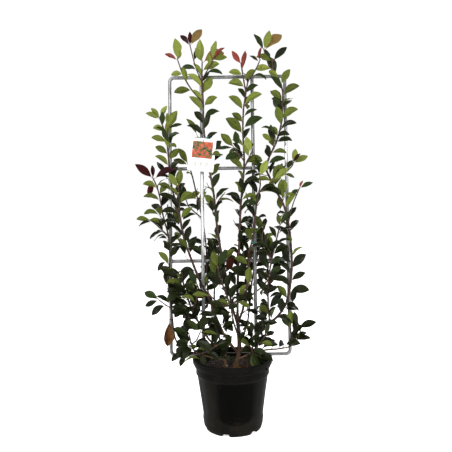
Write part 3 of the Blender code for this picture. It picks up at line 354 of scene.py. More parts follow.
MASSES = {
    "left_centre_foliage": Mass("left_centre_bough", (
        Stem(((-0.010, 0.030, 0.480), (-0.032, 0.031, 0.592), (-0.049, 0.031, 0.707),
              (-0.059, 0.030, 0.817), (-0.078, 0.030, 0.930), (-0.091, 0.031, 1.050),
              (-0.092, 0.032, 1.142), (-0.096, 0.030, 1.215), (-0.095, 0.030, 1.292)),
             0.0037, gap=0.0215, leaf=0.074, first=0, bare=0.03,
             fan=((-4, 0.084), (50, 0.078), (-22, 0.056))),
        Stem(((-0.134, 0.031, 1.191), (-0.163, 0.032, 1.242), (-0.183, 0.034, 1.300)),
             0.0021, gap=0.034, leaf=0.060, first=0, bare=0.060, springs_at=1.140,
             fan=((-7, 0.084), (-52, 0.048), (12, 0.040))),
        Stem(((-0.120, 0.036, 1.278), (-0.138, 0.038, 1.352)),
             0.0016, gap=0.034, leaf=0.056, first=0, bare=0.050, springs_at=1.212,
             fan=((-36, 0.050), (0, 0.040), (33, 0.064))),
        Stem(((-0.071, 0.034, 1.268), (-0.056, 0.036, 1.298)),
             0.0016, gap=0.022, leaf=0.052, first=180, bare=0.026, springs_at=1.228,
             fan=((44, 0.050), (64, 0.046), (10, 0.060))),
        Stem(((-0.040, 0.044, 0.790), (-0.022, 0.052, 0.812)),
             0.0016, gap=0.022, leaf=0.070, first=180, bare=0.02, springs_at=0.765,
             fan=((42, 0.084), (-8, 0.064), (84, 0.058))),
    ), twigs=3, twig_length=0.040),
    "centre_foliage": Mass("centre_bough", (
        Stem(((0.022, 0.024, 0.490), (0.026, 0.028, 0.583), (0.031, 0.028, 0.667), (0.036, 0.028, 0.767),
              (0.045, 0.028, 0.850), (0.051, 0.028, 0.930), (0.048, 0.028, 1.040), (0.052, 0.028, 1.121),
              (0.060, 0.028, 1.174), (0.054, 0.030, 1.220), (0.045, 0.031, 1.282)),
             0.0038, gap=0.0215, leaf=0.070, first=180, bare=0.04,
             fan=((-27, 0.054), (14, 0.052))),
        Stem(((0.070, 0.030, 1.218), (0.092, 0.031, 1.250), (0.112, 0.033, 1.290)),
             0.0018, gap=0.034, leaf=0.060, first=0, bare=0.035, springs_at=1.172,
             fan=((8, 0.052), (-46, 0.036))),
        Stem(((0.064, 0.040, 0.930), (0.076, 0.046, 0.958)),
             0.0016, gap=0.022, leaf=0.066, first=180, bare=0.02, springs_at=0.902,
             fan=((34, 0.070), (-16, 0.060), (70, 0.064))),
        Stem(((0.030, 0.040, 0.955), (0.014, 0.044, 0.978)),
             0.0016, gap=0.025, leaf=0.066, first=0, bare=0.02, springs_at=0.930,
             fan=((-40, 0.072), (-84, 0.064))),
    ), twigs=2, twig_length=0.040),
    "right_centre_foliage": Mass("right_centre_bough", (
        Stem(((0.054, 0.030, 0.495), (0.060, 0.032, 0.560), (0.064, 0.034, 0.610), (0.077, 0.036, 0.656),
              (0.088, 0.036, 0.744), (0.098, 0.036, 0.806), (0.114, 0.036, 0.826), (0.134, 0.037, 0.836),
              (0.152, 0.038, 0.858)),
             0.0034, gap=0.021, leaf=0.078, first=0, bare=0.02,
             fan=((48, 0.074), (20, 0.066))),
        Stem(((0.106, 0.040, 0.842), (0.104, 0.044, 0.872)),
             0.0018, gap=0.022, leaf=0.072, first=180, bare=0.015, springs_at=0.806,
             fan=((-16, 0.078), (22, 0.066))),
    ), twigs=3, twig_length=0.045),
    "right_foliage": Mass("right_bough", (
        Stem(((0.193, 0.021, 0.428), (0.206, 0.020, 0.490), (0.213, 0.020, 0.560), (0.211, 0.020, 0.635),
              (0.205, 0.020, 0.700), (0.191, 0.020, 0.765), (0.163, 0.021, 0.822), (0.140, 0.023, 0.872),
              (0.130, 0.024, 0.902), (0.141, 0.024, 0.944), (0.168, 0.023, 1.000), (0.187, 0.022, 1.068),
              (0.192, 0.022, 1.130), (0.192, 0.022, 1.190), (0.174, 0.023, 1.240), (0.148, 0.024, 1.275),
              (0.128, 0.026, 1.334)),
             0.0040, gap=0.0215, leaf=0.070, first=0, bare=0.01,
             fan=((-31, 0.056), (14, 0.066), (38, 0.082), (146, 0.056))),
        Stem(((0.220, 0.026, 0.770), (0.237, 0.028, 0.812), (0.246, 0.030, 0.832)),
             0.0014, gap=0.050, leaf=0.050, first=180, bare=0.090, springs_at=0.706,
             fan=((60, 0.054), (24, 0.034), (-118, 0.042))),
        Stem(((0.214, 0.026, 0.902), (0.226, 0.028, 0.922)),
             0.0016, gap=0.020, leaf=0.056, first=0, bare=0.03, springs_at=0.848,
             fan=((12, 0.060), (60, 0.062), (34, 0.044))),
        Stem(((0.160, 0.030, 1.262), (0.157, 0.034, 1.290)),
             0.0015, gap=0.034, leaf=0.050, first=0, bare=0.03, springs_at=1.232,
             fan=((40, 0.058), (-70, 0.052))),
    ), twigs=4, twig_length=0.036),
    "inner_right_foliage": Mass("right_bough", (
        Stem(((0.131, 0.028, 0.358), (0.126, 0.042, 0.430), (0.127, 0.050, 0.500), (0.138, 0.050, 0.570),
              (0.160, 0.046, 0.655), (0.172, 0.044, 0.700)),
             0.0026, gap=0.019, leaf=0.070, first=0, bare=0.03,
             fan=((-10, 0.058), (34, 0.065))),
        Stem(((0.110, 0.052, 0.640), (0.112, 0.054, 0.690)),
             0.0018, gap=0.020, leaf=0.069, first=180, bare=0.02, springs_at=0.580,
             fan=((20, 0.062), (-24, 0.058))),
    ), twigs=4, twig_length=0.045),
    "left_foliage": Mass("left_bough", (
        Stem(((-0.107, 0.032, 0.501), (-0.127, 0.030, 0.550), (-0.145, 0.028, 0.598), (-0.160, 0.026, 0.640),
              (-0.172, 0.024, 0.690), (-0.181, 0.024, 0.740), (-0.201, 0.024, 0.812), (-0.214, 0.024, 0.880),
              (-0.220, 0.024, 0.960), (-0.229, 0.024, 1.030), (-0.250, 0.024, 1.090)),
             0.0036, gap=0.0215, leaf=0.070, first=180, bare=0.02,
             fan=((-33, 0.056), (-60, 0.064), (30, 0.044))),
        Stem(((-0.180, 0.036, 0.790), (-0.182, 0.042, 0.838)),
             0.0020, gap=0.022, leaf=0.070, first=0, bare=0.02, springs_at=0.735,
             fan=((6, 0.070), (44, 0.080), (-30, 0.062))),
        Stem(((-0.220, 0.034, 1.020), (-0.219, 0.038, 1.052)),
             0.0016, gap=0.022, leaf=0.062, first=180, bare=0.02, springs_at=0.985,
             fan=((26, 0.074), (-2, 0.060), (62, 0.044))),
    ), twigs=4, twig_length=0.040),
    "inner_left_foliage": Mass("left_bough", (
        Stem(((-0.080, 0.036, 0.450), (-0.086, 0.004, 0.500), (-0.088, -0.020, 0.560),
              (-0.092, -0.030, 0.640), (-0.104, -0.032, 0.730), (-0.122, -0.032, 0.810),
              (-0.140, -0.030, 0.890), (-0.154, -0.028, 0.930)),
             0.0026, gap=0.022, leaf=0.074, first=0, bare=0.06,
             fan=((-24, 0.080), (30, 0.066), (-60, 0.060))),
        Stem(((-0.150, -0.040, 0.770), (-0.164, -0.042, 0.800)),
             0.0016, gap=0.022, leaf=0.066, first=0, bare=0.02, springs_at=0.730,
             fan=((-20, 0.070), (50, 0.060))),
    ), twigs=3, twig_length=0.045),
    "lower_left_foliage": Mass("lower_left_bough", (
        Stem(((-0.130, 0.024, 0.388), (-0.150, 0.026, 0.436), (-0.166, 0.030, 0.486), (-0.172, 0.034, 0.540)),
             0.0031, gap=0.016, leaf=0.076, first=0, bare=0.01,
             fan=((22, 0.076), (-34, 0.067), (60, 0.070))),
        Stem(((-0.120, 0.056, 0.450), (-0.118, 0.066, 0.496)),
             0.0020, gap=0.018, leaf=0.072, first=180, bare=0.02, springs_at=0.402,
             fan=((30, 0.074), (-20, 0.065))),
    ), twigs=5, twig_length=0.050),
    "far_left_foliage": Mass("far_left_bough", (
        Stem(((-0.207, 0.018, 0.356), (-0.214, 0.018, 0.425), (-0.222, 0.018, 0.500), (-0.217, 0.018, 0.590),
              (-0.221, 0.018, 0.663), (-0.240, 0.020, 0.741), (-0.252, 0.022, 0.810), (-0.264, 0.023, 0.850),
              (-0.275, 0.024, 0.874)),
             0.0028, gap=0.023, leaf=0.070, first=0, bare=0.07,
             fan=((-44, 0.066), (-4, 0.050), (64, 0.060), (-162, 0.044))),
        Stem(((-0.262, 0.028, 0.706), (-0.280, 0.030, 0.722)),
             0.0014, gap=0.022, leaf=0.060, first=0, bare=0.02, springs_at=0.668,
             fan=((-72, 0.060), (-100, 0.056))),
        Stem(((-0.240, 0.026, 0.432), (-0.256, 0.028, 0.446)),
             0.0014, gap=0.022, leaf=0.060, first=0, bare=0.02, springs_at=0.412,
             fan=((-62, 0.066), (-110, 0.058))),
        Stem(((-0.2170, 0.042, 0.380),), 0.0014, springs_at=0.370, bare=0.06,
             fan=((-177, 0.090),)),
    ), twigs=3, twig_length=0.032),
    "low_left_foliage": Mass("far_left_bough", (
        Stem(((-0.125, 0.044, 0.262), (-0.138, 0.056, 0.292), (-0.146, 0.060, 0.330)),
             0.0022, gap=0.017, leaf=0.070, first=0, bare=0.012,
             fan=((-150, 0.074), (30, 0.064), (-60, 0.062))),
        Stem(((-0.104, 0.074, 0.270), (-0.076, 0.086, 0.284), (-0.056, 0.090, 0.298)),
             0.0016, gap=0.019, leaf=0.064, first=180, bare=0.02, springs_at=0.272,
             fan=((70, 0.060), (6, 0.060))),
        Stem(((-0.120, 0.076, 0.316), (-0.106, 0.080, 0.346)),
             0.0016, gap=0.019, leaf=0.068, first=180, bare=0.02, springs_at=0.296,
             fan=((16, 0.066), (-40, 0.060), (84, 0.060))),
    ), twigs=2, twig_length=0.034),
    "low_right_foliage": Mass("low_right_bough", (
        Stem(((0.198, 0.024, 0.276), (0.216, 0.026, 0.294), (0.224, 0.030, 0.322), (0.226, 0.032, 0.346)),
             0.0025, gap=0.017, leaf=0.062, first=0, bare=0.012,
             fan=((66, 0.070), (-8, 0.058))),
        Stem(((0.204, 0.036, 0.322), (0.200, 0.040, 0.346)),
             0.0016, gap=0.020, leaf=0.065, first=180, bare=0.02, springs_at=0.292,
             fan=((4, 0.063), (-34, 0.053))),
    ), twigs=2, twig_length=0.040),
    "low_front_foliage": Mass("low_right_bough", (
        Stem(((0.060, 0.044, 0.258), (0.066, 0.066, 0.270), (0.064, 0.084, 0.284)),
             0.0020, gap=0.017, leaf=0.054, first=180, bare=0.014,
             fan=((150, 0.062), (96, 0.052), (30, 0.044))),
        Stem(((0.090, 0.062, 0.296), (0.112, 0.062, 0.322)),
             0.0016, gap=0.018, leaf=0.056, first=0, bare=0.02, springs_at=0.270,
             fan=((14, 0.054), (70, 0.052), (-40, 0.050))),
    ), twigs=2, twig_length=0.030),
    "front_foliage": Mass("front_bough", (
        Stem(((-0.002, 0.090, 0.420), (-0.016, 0.096, 0.466), (-0.034, 0.096, 0.515), (-0.046, 0.094, 0.560)),
             0.0025, gap=0.017, leaf=0.070, first=0, bare=0.01,
             fan=((-60, 0.074), (24, 0.070), (-14, 0.062))),
        Stem(((0.032, 0.096, 0.462), (0.058, 0.098, 0.500)),
             0.0018, gap=0.019, leaf=0.068, first=180, bare=0.02, springs_at=0.432,
             fan=((20, 0.072), (64, 0.066))),
        Stem(((-0.046, 0.096, 0.444), (-0.072, 0.094, 0.466)),
             0.0018, gap=0.019, leaf=0.068, first=0, bare=0.02, springs_at=0.428,
             fan=((-30, 0.070), (-76, 0.066))),
    ), twigs=3, twig_length=0.040),
    "back_left_foliage": Mass("back_left_bough", (
        Stem(((-0.060, -0.052, 0.375), (-0.064, -0.064, 0.440), (-0.060, -0.070, 0.510),
              (-0.050, -0.072, 0.580), (-0.040, -0.072, 0.640)),
             0.0027, gap=0.018, leaf=0.072, first=180, bare=0.01,
             fan=((-34, 0.069), (28, 0.065))),
        Stem(((-0.110, -0.070, 0.450), (-0.134, -0.072, 0.500)),
             0.0018, gap=0.018, leaf=0.070, first=0, bare=0.02, springs_at=0.400,
             fan=((-24, 0.067), (40, 0.058))),
    ), twigs=3, twig_length=0.050),
    "back_right_foliage": Mass("back_right_bough", (
        Stem(((0.066, -0.054, 0.410), (0.074, -0.066, 0.480), (0.088, -0.072, 0.550),
              (0.108, -0.074, 0.620), (0.122, -0.074, 0.680)),
             0.0027, gap=0.018, leaf=0.070, first=0, bare=0.01,
             fan=((-20, 0.069), (40, 0.065))),
        Stem(((0.120, -0.068, 0.480), (0.150, -0.070, 0.520)),
             0.0018, gap=0.018, leaf=0.069, first=180, bare=0.02, springs_at=0.440,
             fan=((30, 0.065), (70, 0.058))),
    ), twigs=3, twig_length=0.050),
}

# Leaves dealt out by spray: mass and stem, then the bearing of a tip leaf and its kind
TIP_KINDS = {
    ("left_centre_foliage", 0): {-4: "pale", 50: "tan", -22: "pale"},
    ("left_centre_foliage", 1): {-7: "pale", -52: "red", 12: "fresh"},
    ("left_centre_foliage", 2): {-36: "maroon", 0: "maroon", 33: "tan"},
    ("left_centre_foliage", 3): {44: "red", 64: "fresh", 10: "pale"},
    ("left_centre_foliage", 4): {42: "dark", -8: "dark", 84: "dark"},
    ("centre_foliage", 0): {-27: "red", 14: "red"},
    ("centre_foliage", 1): {8: "red", -46: "fresh"},
    ("right_foliage", 0): {-31: "fresh", 14: "pale", 38: "tan", 146: "fresh"},
    ("right_foliage", 1): {60: "fresh", 24: "red", -118: "fresh"},
    ("right_foliage", 2): {12: "pale", 60: "pale", 34: "maroon"},
    ("right_foliage", 3): {40: "dark", -70: "fresh"},
    ("far_left_foliage", 0): {-44: "maroon", -4: "maroon", 64: "maroon", -162: "maroon"},
    ("far_left_foliage", 3): {-177: "withered"},
    ("left_foliage", 0): {-33: "fresh", -60: "pale", 30: "pale"},
    ("left_foliage", 2): {26: "fresh", -2: "pale", 62: "fresh"},
}

# Old leaves that have turned, by mass and the place they are nearest to
OLD_LEAVES = (
    ("right_centre_foliage", (0.082, 0.614)), ("lower_left_foliage", (-0.095, 0.473)),
    ("front_foliage", (-0.063, 0.441)), ("low_left_foliage", (-0.082, 0.326)),
    ("left_centre_foliage", (-0.010, 0.561)),
)

# Finer seeded twigs of each mass, most of them low down
FINE_TWIGS = {
    "lower_left_foliage": 5, "low_left_foliage": 4, "low_right_foliage": 4, "low_front_foliage": 2,
    "front_foliage": 3, "back_left_foliage": 4, "back_right_foliage": 4, "far_left_foliage": 3,
    "inner_left_foliage": 3, "inner_right_foliage": 3, "right_centre_foliage": 3, "left_foliage": 3,
    "left_centre_foliage": 4, "centre_foliage": 4, "right_foliage": 4,
}
FINE_LENGTH = (0.018, 0.034)
FINE_SPAN = 0.8
TWIG_SPREAD = (0.2, 0.8)
FINE_LEAVES = (0.25, 0.62, 0.95)
FINE_LEAF = 0.86
LIMB_TWIG_LENGTH = (0.016, 0.040)
LIMB_LEAF = 0.064

# Twigs of a mass that spring from the limbs below it: limb, first and last share of its length, and count
LIMB_TWIGS = {
    "front_foliage": (("front_bough", 0.45, 0.95, 5), ("centre_bough", 0.0, 0.8, 5),
                      ("left_centre_bough", 0.3, 0.9, 4), ("right_centre_bough", 0.2, 0.85, 5),
                      ("left_bough", 0.55, 0.9, 4)),
    "low_front_foliage": (("main_trunk", 0.1, 0.95, 9), ("right_bough", 0.1, 0.6, 7),
                          ("right_centre_bough", 0.0, 0.3, 2), ("low_right_bough", 0.15, 0.7, 4)),
    "low_left_foliage": (("left_bough", 0.1, 0.7, 9), ("lower_left_bough", 0.1, 0.8, 5),
                         ("far_left_bough", 0.1, 0.7, 5), ("left_trunk", 0.3, 0.95, 2)),
    "inner_right_foliage": (("right_bough", 0.5, 0.95, 6), ("right_centre_bough", 0.3, 0.9, 3)),
    "lower_left_foliage": (("lower_left_bough", 0.75, 0.97, 2), ("left_bough", 0.75, 0.95, 2)),
    "low_right_foliage": (("low_right_bough", 0.75, 0.97, 3),),
    "back_right_foliage": (("back_right_bough", 0.6, 0.95, 4),),
    "back_left_foliage": (("back_left_bough", 0.5, 0.95, 4),),
}

# How much longer than the source's a leaf may be where it is clear, tried in turn, above a height
GROWTH = (1.24, 1.16, 1.08)
GROWTH_ABOVE = 1.02
TIP_GROWTH = {("far_left_foliage", 0): (1.5, 1.35, 1.2),
              ("far_left_foliage", 3): (1.40, 1.32, 1.25, 1.18, 1.10)}
WITHERED_LOWER = 0.020

# Share of a red-tipped stem from which its side leaves are red too
RED_SHARE = 0.946

# Tip leaves that are seen face on, and how narrow the blades of young and dry leaves are
FACE_ON = ("left_centre_foliage stem 2 fan 33", "left_centre_foliage stem 0 fan 50",
           "far_left_foliage stem 0 fan -4", "right_foliage stem 2 fan 12")
NARROWER = {"red": 0.74, "maroon": 0.86, "withered": 0.85}

# Leafy twigs that fill the crown's foot: limb, share of its length, aim and reach
AIMED_TWIGS = {
    "low_left_foliage": (
        ("left_bough", 0.26, (-0.6, -0.7, 0.2), 0.040), ("left_bough", 0.33, (-0.2, -0.6, 0.5), 0.040),
        ("left_bough", 0.42, (0.5, -0.6, 0.4), 0.035), ("left_bough", 0.50, (-0.6, -0.5, 0.5), 0.045),
        ("lower_left_bough", 0.35, (0.4, -0.7, 0.6), 0.045),
        ("lower_left_bough", 0.60, (0.2, -0.6, 0.7), 0.045),
        ("far_left_bough", 0.55, (0.0, -0.4, 0.9), 0.050), ("far_left_bough", 0.76, (0.3, -0.4, 0.8), 0.045),
        ("left_bough", 0.62, (-0.7, -0.5, 0.1), 0.050), ("lower_left_bough", 0.80, (0.6, -0.5, 0.3), 0.045)),
    "lower_left_foliage": (
        ("lower_left_bough", 0.90, (-0.7, -0.3, 0.3), 0.050),
        ("lower_left_bough", 0.75, (-0.8, -0.2, 0.4), 0.055)),
    "inner_right_foliage": (
        ("right_bough", 0.30, (0.2, -0.5, 0.8), 0.055), ("right_bough", 0.45, (-0.3, -0.4, 0.9), 0.050),
        ("right_bough", 0.60, (0.0, 0.3, 0.9), 0.045), ("right_centre_bough", 0.20, (0.6, -0.3, 0.6), 0.050)),
    "low_front_foliage": (
        ("main_trunk", 0.52, (0.6, -0.7, 0.3), 0.060), ("main_trunk", 0.66, (0.6, -0.8, 0.1), 0.060),
        ("main_trunk", 0.74, (0.2, -0.9, 0.1), 0.060), ("main_trunk", 0.60, (0.9, -0.6, 0.2), 0.065),
        ("right_bough", 0.22, (0.1, -0.8, 0.5), 0.060), ("right_bough", 0.46, (-0.3, -0.7, 0.5), 0.050),
        ("right_bough", 0.35, (0.1, -0.6, 0.7), 0.045), ("right_bough", 0.58, (0.0, -0.7, 0.6), 0.045)),
}

# Runs of tube painted brighter as a highlight, and one run darker along the bottom bar's middle: axis,
# lowest, highest and tone
TUBE_RUNS = {
    "rack_left_leg": ((2, 0.60, 0.89, 0.76), (2, 0.44, 0.58, 0.62)),
    "rack_left_side": ((2, 0.70, 0.88, 0.78),),
    "rack_right_side": ((2, 0.88, 1.06, 0.80),),
    "rack_bottom_bar": ((0, -0.075, 0.092, 0.0),),
}
RUN_EDGE = 0.020

# Views kept open to the rack's legs: leg, lowest and highest place
OPEN_VIEWS = (("rack_left_leg", 0.49, 0.88), ("rack_left_leg", 0.41, 0.45), ("rack_right_leg", 0.41, 0.60))
OPEN_HALF = 0.0045
OPEN_GAP = 0.008
OPEN_FRONT = -0.115
LEG_LEAN = ((0.110, -0.015), (1.261, 0.039))

# Openings through the crown where the sky shows: middle across and up, half width and half height
OPEN_SKY = (
    (-0.116, 0.853, 0.024, 0.026), (-0.007, 0.880, 0.020, 0.034), (-0.010, 0.700, 0.018, 0.080),
    (-0.092, 0.715, 0.026, 0.034), (0.103, 0.981, 0.012, 0.034), (0.135, 0.777, 0.024, 0.026),
    (0.236, 0.646, 0.014, 0.014), (-0.255, 0.485, 0.014, 0.020), (-0.135, 0.312, 0.012, 0.014),
    (0.173, 0.315, 0.016, 0.020), (-0.186, 1.125, 0.012, 0.016), (-0.158, 0.996, 0.016, 0.020),
    (-0.254, 0.624, 0.012, 0.014), (-0.055, 0.458, 0.010, 0.016), (-0.150, 0.575, 0.034, 0.018),
    (0.145, 0.726, 0.014, 0.028), (0.086, 0.470, 0.010, 0.014),
)
OPEN_STEP = 0.010
OPEN_DEPTH = (-0.115, 0.170)

# Leaf kinds: upper side, underside, and the roughness of the upper side
LEAF_KINDS = {
    "dark": ((0.0046, 0.0066, 0.0012), (0.048, 0.060, 0.0110), 0.36),
    "fresh": ((0.0090, 0.0150, 0.0028), (0.062, 0.076, 0.0130), 0.38),
    "pale": ((0.090, 0.108, 0.0200), (0.092, 0.108, 0.0220), 0.44),
    "red": ((0.085, 0.0130, 0.0095), (0.100, 0.0200, 0.0140), 0.34),
    "maroon": ((0.0100, 0.0012, 0.0014), (0.0200, 0.0030, 0.0030), 0.32),
    "tan": ((0.090, 0.056, 0.0160), (0.105, 0.072, 0.0240), 0.44),
    "old": ((0.0150, 0.0036, 0.0018), (0.022, 0.0062, 0.0030), 0.50),
    "withered": ((0.066, 0.0260, 0.0075), (0.072, 0.0300, 0.0090), 0.75),
}
UNDER_GLOSS = 0.62

# Plain materials: name, settings, noise of the colour, its stops, and the relief
PLAIN_LOOKS = {
    "bud": ("bud", {"roughness": 0.4}, (500.0,),
            ((0.3, (0.060, 0.009, 0.006)), (0.7, (0.110, 0.028, 0.012)))),
    "weld": ("weld", {"roughness": 0.5, "metallic": 1.0}, (260.0,),
             ((0.3, (0.08, 0.08, 0.085)), (0.7, (0.24, 0.24, 0.25))), ((500.0,), 0.0005, 0.8)),
    "tie": ("tie_plastic", {"roughness": 0.4}, (220.0,),
            ((0.3, (0.004, 0.075, 0.066)), (0.7, (0.010, 0.120, 0.105))), ((800.0,), 0.0002, 0.4)),
    "card": ("tag_card", {"roughness": 0.42}, (40.0, 4.0),
             ((0.3, (0.50, 0.50, 0.50)), (0.7, (0.56, 0.56, 0.555))), ((500.0, 5.0), 0.0001, 0.3)),
    "print": ("tag_print", {"roughness": 0.35, "specular": 0.25}, (95.0, 3.0),
              ((0.36, (0.012, 0.022, 0.006)), (0.46, (0.085, 0.075, 0.022)),
               (0.53, (0.240, 0.024, 0.013)), (0.66, (0.285, 0.078, 0.036)))),
    "ink": ("tag_ink", {"roughness": 0.4, "specular": 0.25}, (300.0,),
            ((0.3, (0.26, 0.275, 0.25)), (0.7, (0.31, 0.325, 0.30)))),
}
CRUMB_LOOKS = {
    "chip": ("bark_chip", (0.0070, 0.0032, 0.0016), (0.040, 0.0170, 0.0078)),
    "moss": ("moss", (0.012, 0.024, 0.003), (0.060, 0.080, 0.012)),
    "grit": ("grit", (0.03, 0.025, 0.018), (0.09, 0.08, 0.06)),
}

# On the soil: look, count, rise, least and greatest size and flatness; patches of moss; old leaves; a stub
CRUMBS = (("chip", 420, 0.0008, 0.0012, 0.0034, 0.6), ("grit", 22, 0.0010, 0.0009, 0.0018, 0.9))
MOSS = ((-0.055, -0.085, 0.018, 70), (0.108, -0.035, 0.010, 26), (-0.030, 0.070, 0.020, 40))
LITTER_COUNT = 34
LITTER_AT_FEET = 20
STUB_DEPTH = -0.052
STUB_LINE = ((-0.021, -0.002), (-0.020, 0.006), (-0.0195, 0.009))
STUB_RADII = (0.0042, 0.0040, 0.0038)

# The tag's hole, printed panel and leaf shapes
HOLE_RADIUS = 0.0026
HOLE_DOWN = 0.0075
HOLE_SIDES = 24
PANEL_SIZE = (0.072, 0.060)
PANEL_UP = 0.018
INK_LEAVES = ((-0.020, 18), (0.0, 0), (0.020, -18))
INK_UP = -0.034
INK_LENGTH = 0.024
INK_HALF = 0.0044

# Studio: turns of the camera, and each light's place, aim, and power
CAMERA_TURNS = ((0.0086, "Z"), (math.pi / 2 + 0.0127, "X"), (-0.0131, "Z"))
SENSOR = 36
LENS = SENSOR * 453 / 452
LIGHTS = {
    "key": ((-1.5, -2.2, 2.1), (0, 0, 0.7), 105),
    "fill": ((1.9, -1.9, 1.3), (0, 0, 0.6), 42),
    "rim": ((0.6, 2.0, 2.4), (0, 0, 0.8), 45),
}
LIGHT_SIZE = 1.2
SURROUND = 1.02
FLOOR_REACH = 30.0
FLOOR_GLOW = 0.62


# Geometry

class Pile:
    """Points and faces of many small shapes, which join into one piece."""

    def __init__(self):
        self.points, self.loops, self.sizes = [], [], []
        self.looks, self.places, self.tones = [], [], []
        self.count = 0

    def add(self, points, groups, places=None, tone=0.5):
        """Adds a shape: its points, groups of (faces, look), and its points' places on the pattern."""
        points = np.asarray(points, np.float64).reshape(-1, 3)
        for faces, look in groups:
            faces = np.asarray(faces)
            self.loops.append((faces + self.count).ravel())
            self.sizes.append(np.full(len(faces), faces.shape[1]))
            self.looks += [look] * len(faces)
        self.points.append(points)
        self.places.append(np.zeros((len(points), 2)) if places is None else np.asarray(places))
        self.tones.append(np.broadcast_to(tone, len(points)).astype(float))
        self.count += len(points)

    def piece(self, name, looks, nodes, slot, sharp=50):
        """The one object made of the pile, which stands for the nodes."""
        data = bpy.data.meshes.new(name)
        points = np.concatenate(self.points)
        loops = np.concatenate(self.loops).astype(np.int32)
        sizes = np.concatenate(self.sizes).astype(np.int32)
        data.vertices.add(len(points))
        data.vertices.foreach_set("co", points.astype(np.float32).ravel())
        data.loops.add(len(loops))
        data.loops.foreach_set("vertex_index", loops)
        data.polygons.add(len(sizes))
        data.polygons.foreach_set("loop_start", np.concatenate([[0], np.cumsum(sizes)[:-1]]).astype(np.int32))
        used = sorted(set(self.looks))
        data.polygons.foreach_set("material_index", np.array([used.index(l) for l in self.looks], np.int32))
        for look in used:
            data.materials.append(looks[look])
        data.update(calc_edges=True)
        places = np.concatenate(self.places)[loops]
        data.uv_layers.new(name="pattern").data.foreach_set("uv", places.astype(np.float32).ravel())
        tones = data.attributes.new("tone", "FLOAT", "POINT")
        tones.data.foreach_set("value", np.concatenate(self.tones).astype(np.float32))
        data.shade_smooth()
        data.set_sharp_from_angle(angle=math.radians(sharp))
        return dressed(bpy.data.objects.new(name, data), nodes)


def dressed(piece, nodes):
    """Puts a piece in the scene, on the plant's one body, in the place of its nodes."""
    bpy.context.scene.collection.objects.link(piece)
    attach(piece, "root")
    if nodes:
        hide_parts(*nodes)
    return piece


def grid_faces(rows, columns, closed=False):
    """Quads between the points of a grid, joined round its columns where it is closed."""
    i, j = np.meshgrid(np.arange(rows - 1), np.arange(columns if closed else columns - 1), indexing="ij")
    i, j = i.ravel(), j.ravel()
    k = (j + 1) % columns
    return np.stack([i * columns + j, i * columns + k, (i + 1) * columns + k, (i + 1) * columns + j], 1)


def rack_plane(z):
    """Depth of the plane of the rack's bars at height z."""
    return RACK_DEPTH + math.tan(RACK_LEAN) * (z - RACK_FOOT)


def placed(point):
    """A way-point (x, distance in front of the rack's plane, z) as a place in the world."""
    x, forward, z = point
    return Vector((x, rack_plane(z) - forward, z))


def smooth_path(corners, step):
    """Points about a step apart on a smooth curve through the corners."""
    ends = [corners[0] * 2 - corners[1], *corners, corners[-1] * 2 - corners[-2]]
    path = []
    for before, start, end, after in zip(ends, ends[1:], ends[2:], ends[3:]):
        pieces = max(1, round((end - start).length / step))
        for i in range(pieces):
            t = i / pieces
            path.append(0.5 * (
                2 * start + (end - before) * t
                + (2 * before - 5 * start + 4 * end - after) * t * t
                + (3 * start - before - 3 * end + after) * t ** 3))
    return [*path, corners[-1]]


def taper(foot, tip, count, flare=1.0):
    """Radii from foot to tip, the first widened by the root flare and the second by a little of it."""
    radii = [foot + (tip - foot) * i / (count - 1) for i in range(count)]
    radii[0] *= flare
    if count > 2:
        radii[1] *= 1 + (flare - 1) * 0.25
    return radii


def ring_frame(along):
    """Two directions square to this one and to each other."""
    side = along.cross(Vector((0, 1, 0)))
    if side.length < 0.1:
        side = along.cross(Vector((1, 0, 0)))
    side.normalize()
    return side, side.cross(along).normalized()


def tangents(path):
    """The direction of the path at each of its points."""
    ahead = [*path[1:], path[-1]]
    behind = [path[0], *path[:-1]]
    return [(a - b).normalized() for a, b in zip(ahead, behind)]


def light_side(height, rng):
    """Where an upper face turns: to the front low on the plant, and away from it high up."""
    away = min(1.0, max(-1.0, (height - TURN_HEIGHT) / TURN_BAND))
    across = rng.uniform(-FAN_TWIST, FAN_TWIST)
    depth = LIGHT_TURN * away + rng.uniform(-LIGHT_SPREAD, LIGHT_SPREAD)
    return Vector((across, depth, LIGHT_UP)).normalized()


def leaf_line(root, heading, length, droop, steps):
    """Points and directions along a leaf's midrib, which bends down by droop radians in all."""
    point, along = root.copy(), heading.normalized()
    line = [(point.copy(), along.copy())]
    for _ in range(steps):
        along = (along + Vector((0, 0, -1)) * (droop / steps)).normalized()
        point = point + along * (length / steps)
        line.append((point.copy(), along.copy()))
    return line


def leaf_shape(leaf):
    """The source's corners of a leaf: two at its root, three round its edge and one in each face's middle."""
    root, heading, length, droop, light = leaf
    line = leaf_line(root, heading, length, droop, LEAF_STEPS)
    middle, along = line[LEAF_STEPS // 2]
    normal = (light - along * light.dot(along)).normalized()
    side = along.cross(normal) * LEAF_WIDTH * length / 2
    up = normal * (LEAF_THICKNESS * length / 2)
    first = (light - line[0][1] * light.dot(line[0][1])).normalized() * LEAF_ROOT
    return [root + first, root - first, middle + side, line[-1][0], middle - side, middle + up, middle - up]


def turned(along, angle, lift):
    """The direction that leaves a stem at this turn round it and this angle from its tip."""
    side, up = ring_frame(along)
    out = math.cos(angle) * side + math.sin(angle) * up
    return (math.cos(lift) * along + math.sin(lift) * out).normalized()


def along_path(path, distance):
    """The point and direction at a distance from the path's foot."""
    for start, end in zip(path, path[1:]):
        span = (end - start).length
        if distance <= span:
            return start.lerp(end, distance / span), (end - start).normalized()
        distance -= span
    return path[-1], (path[-1] - path[-2]).normalized()


def path_length(path):
    """The whole length of a path."""
    return sum((b - a).length for a, b in zip(path, path[1:]))


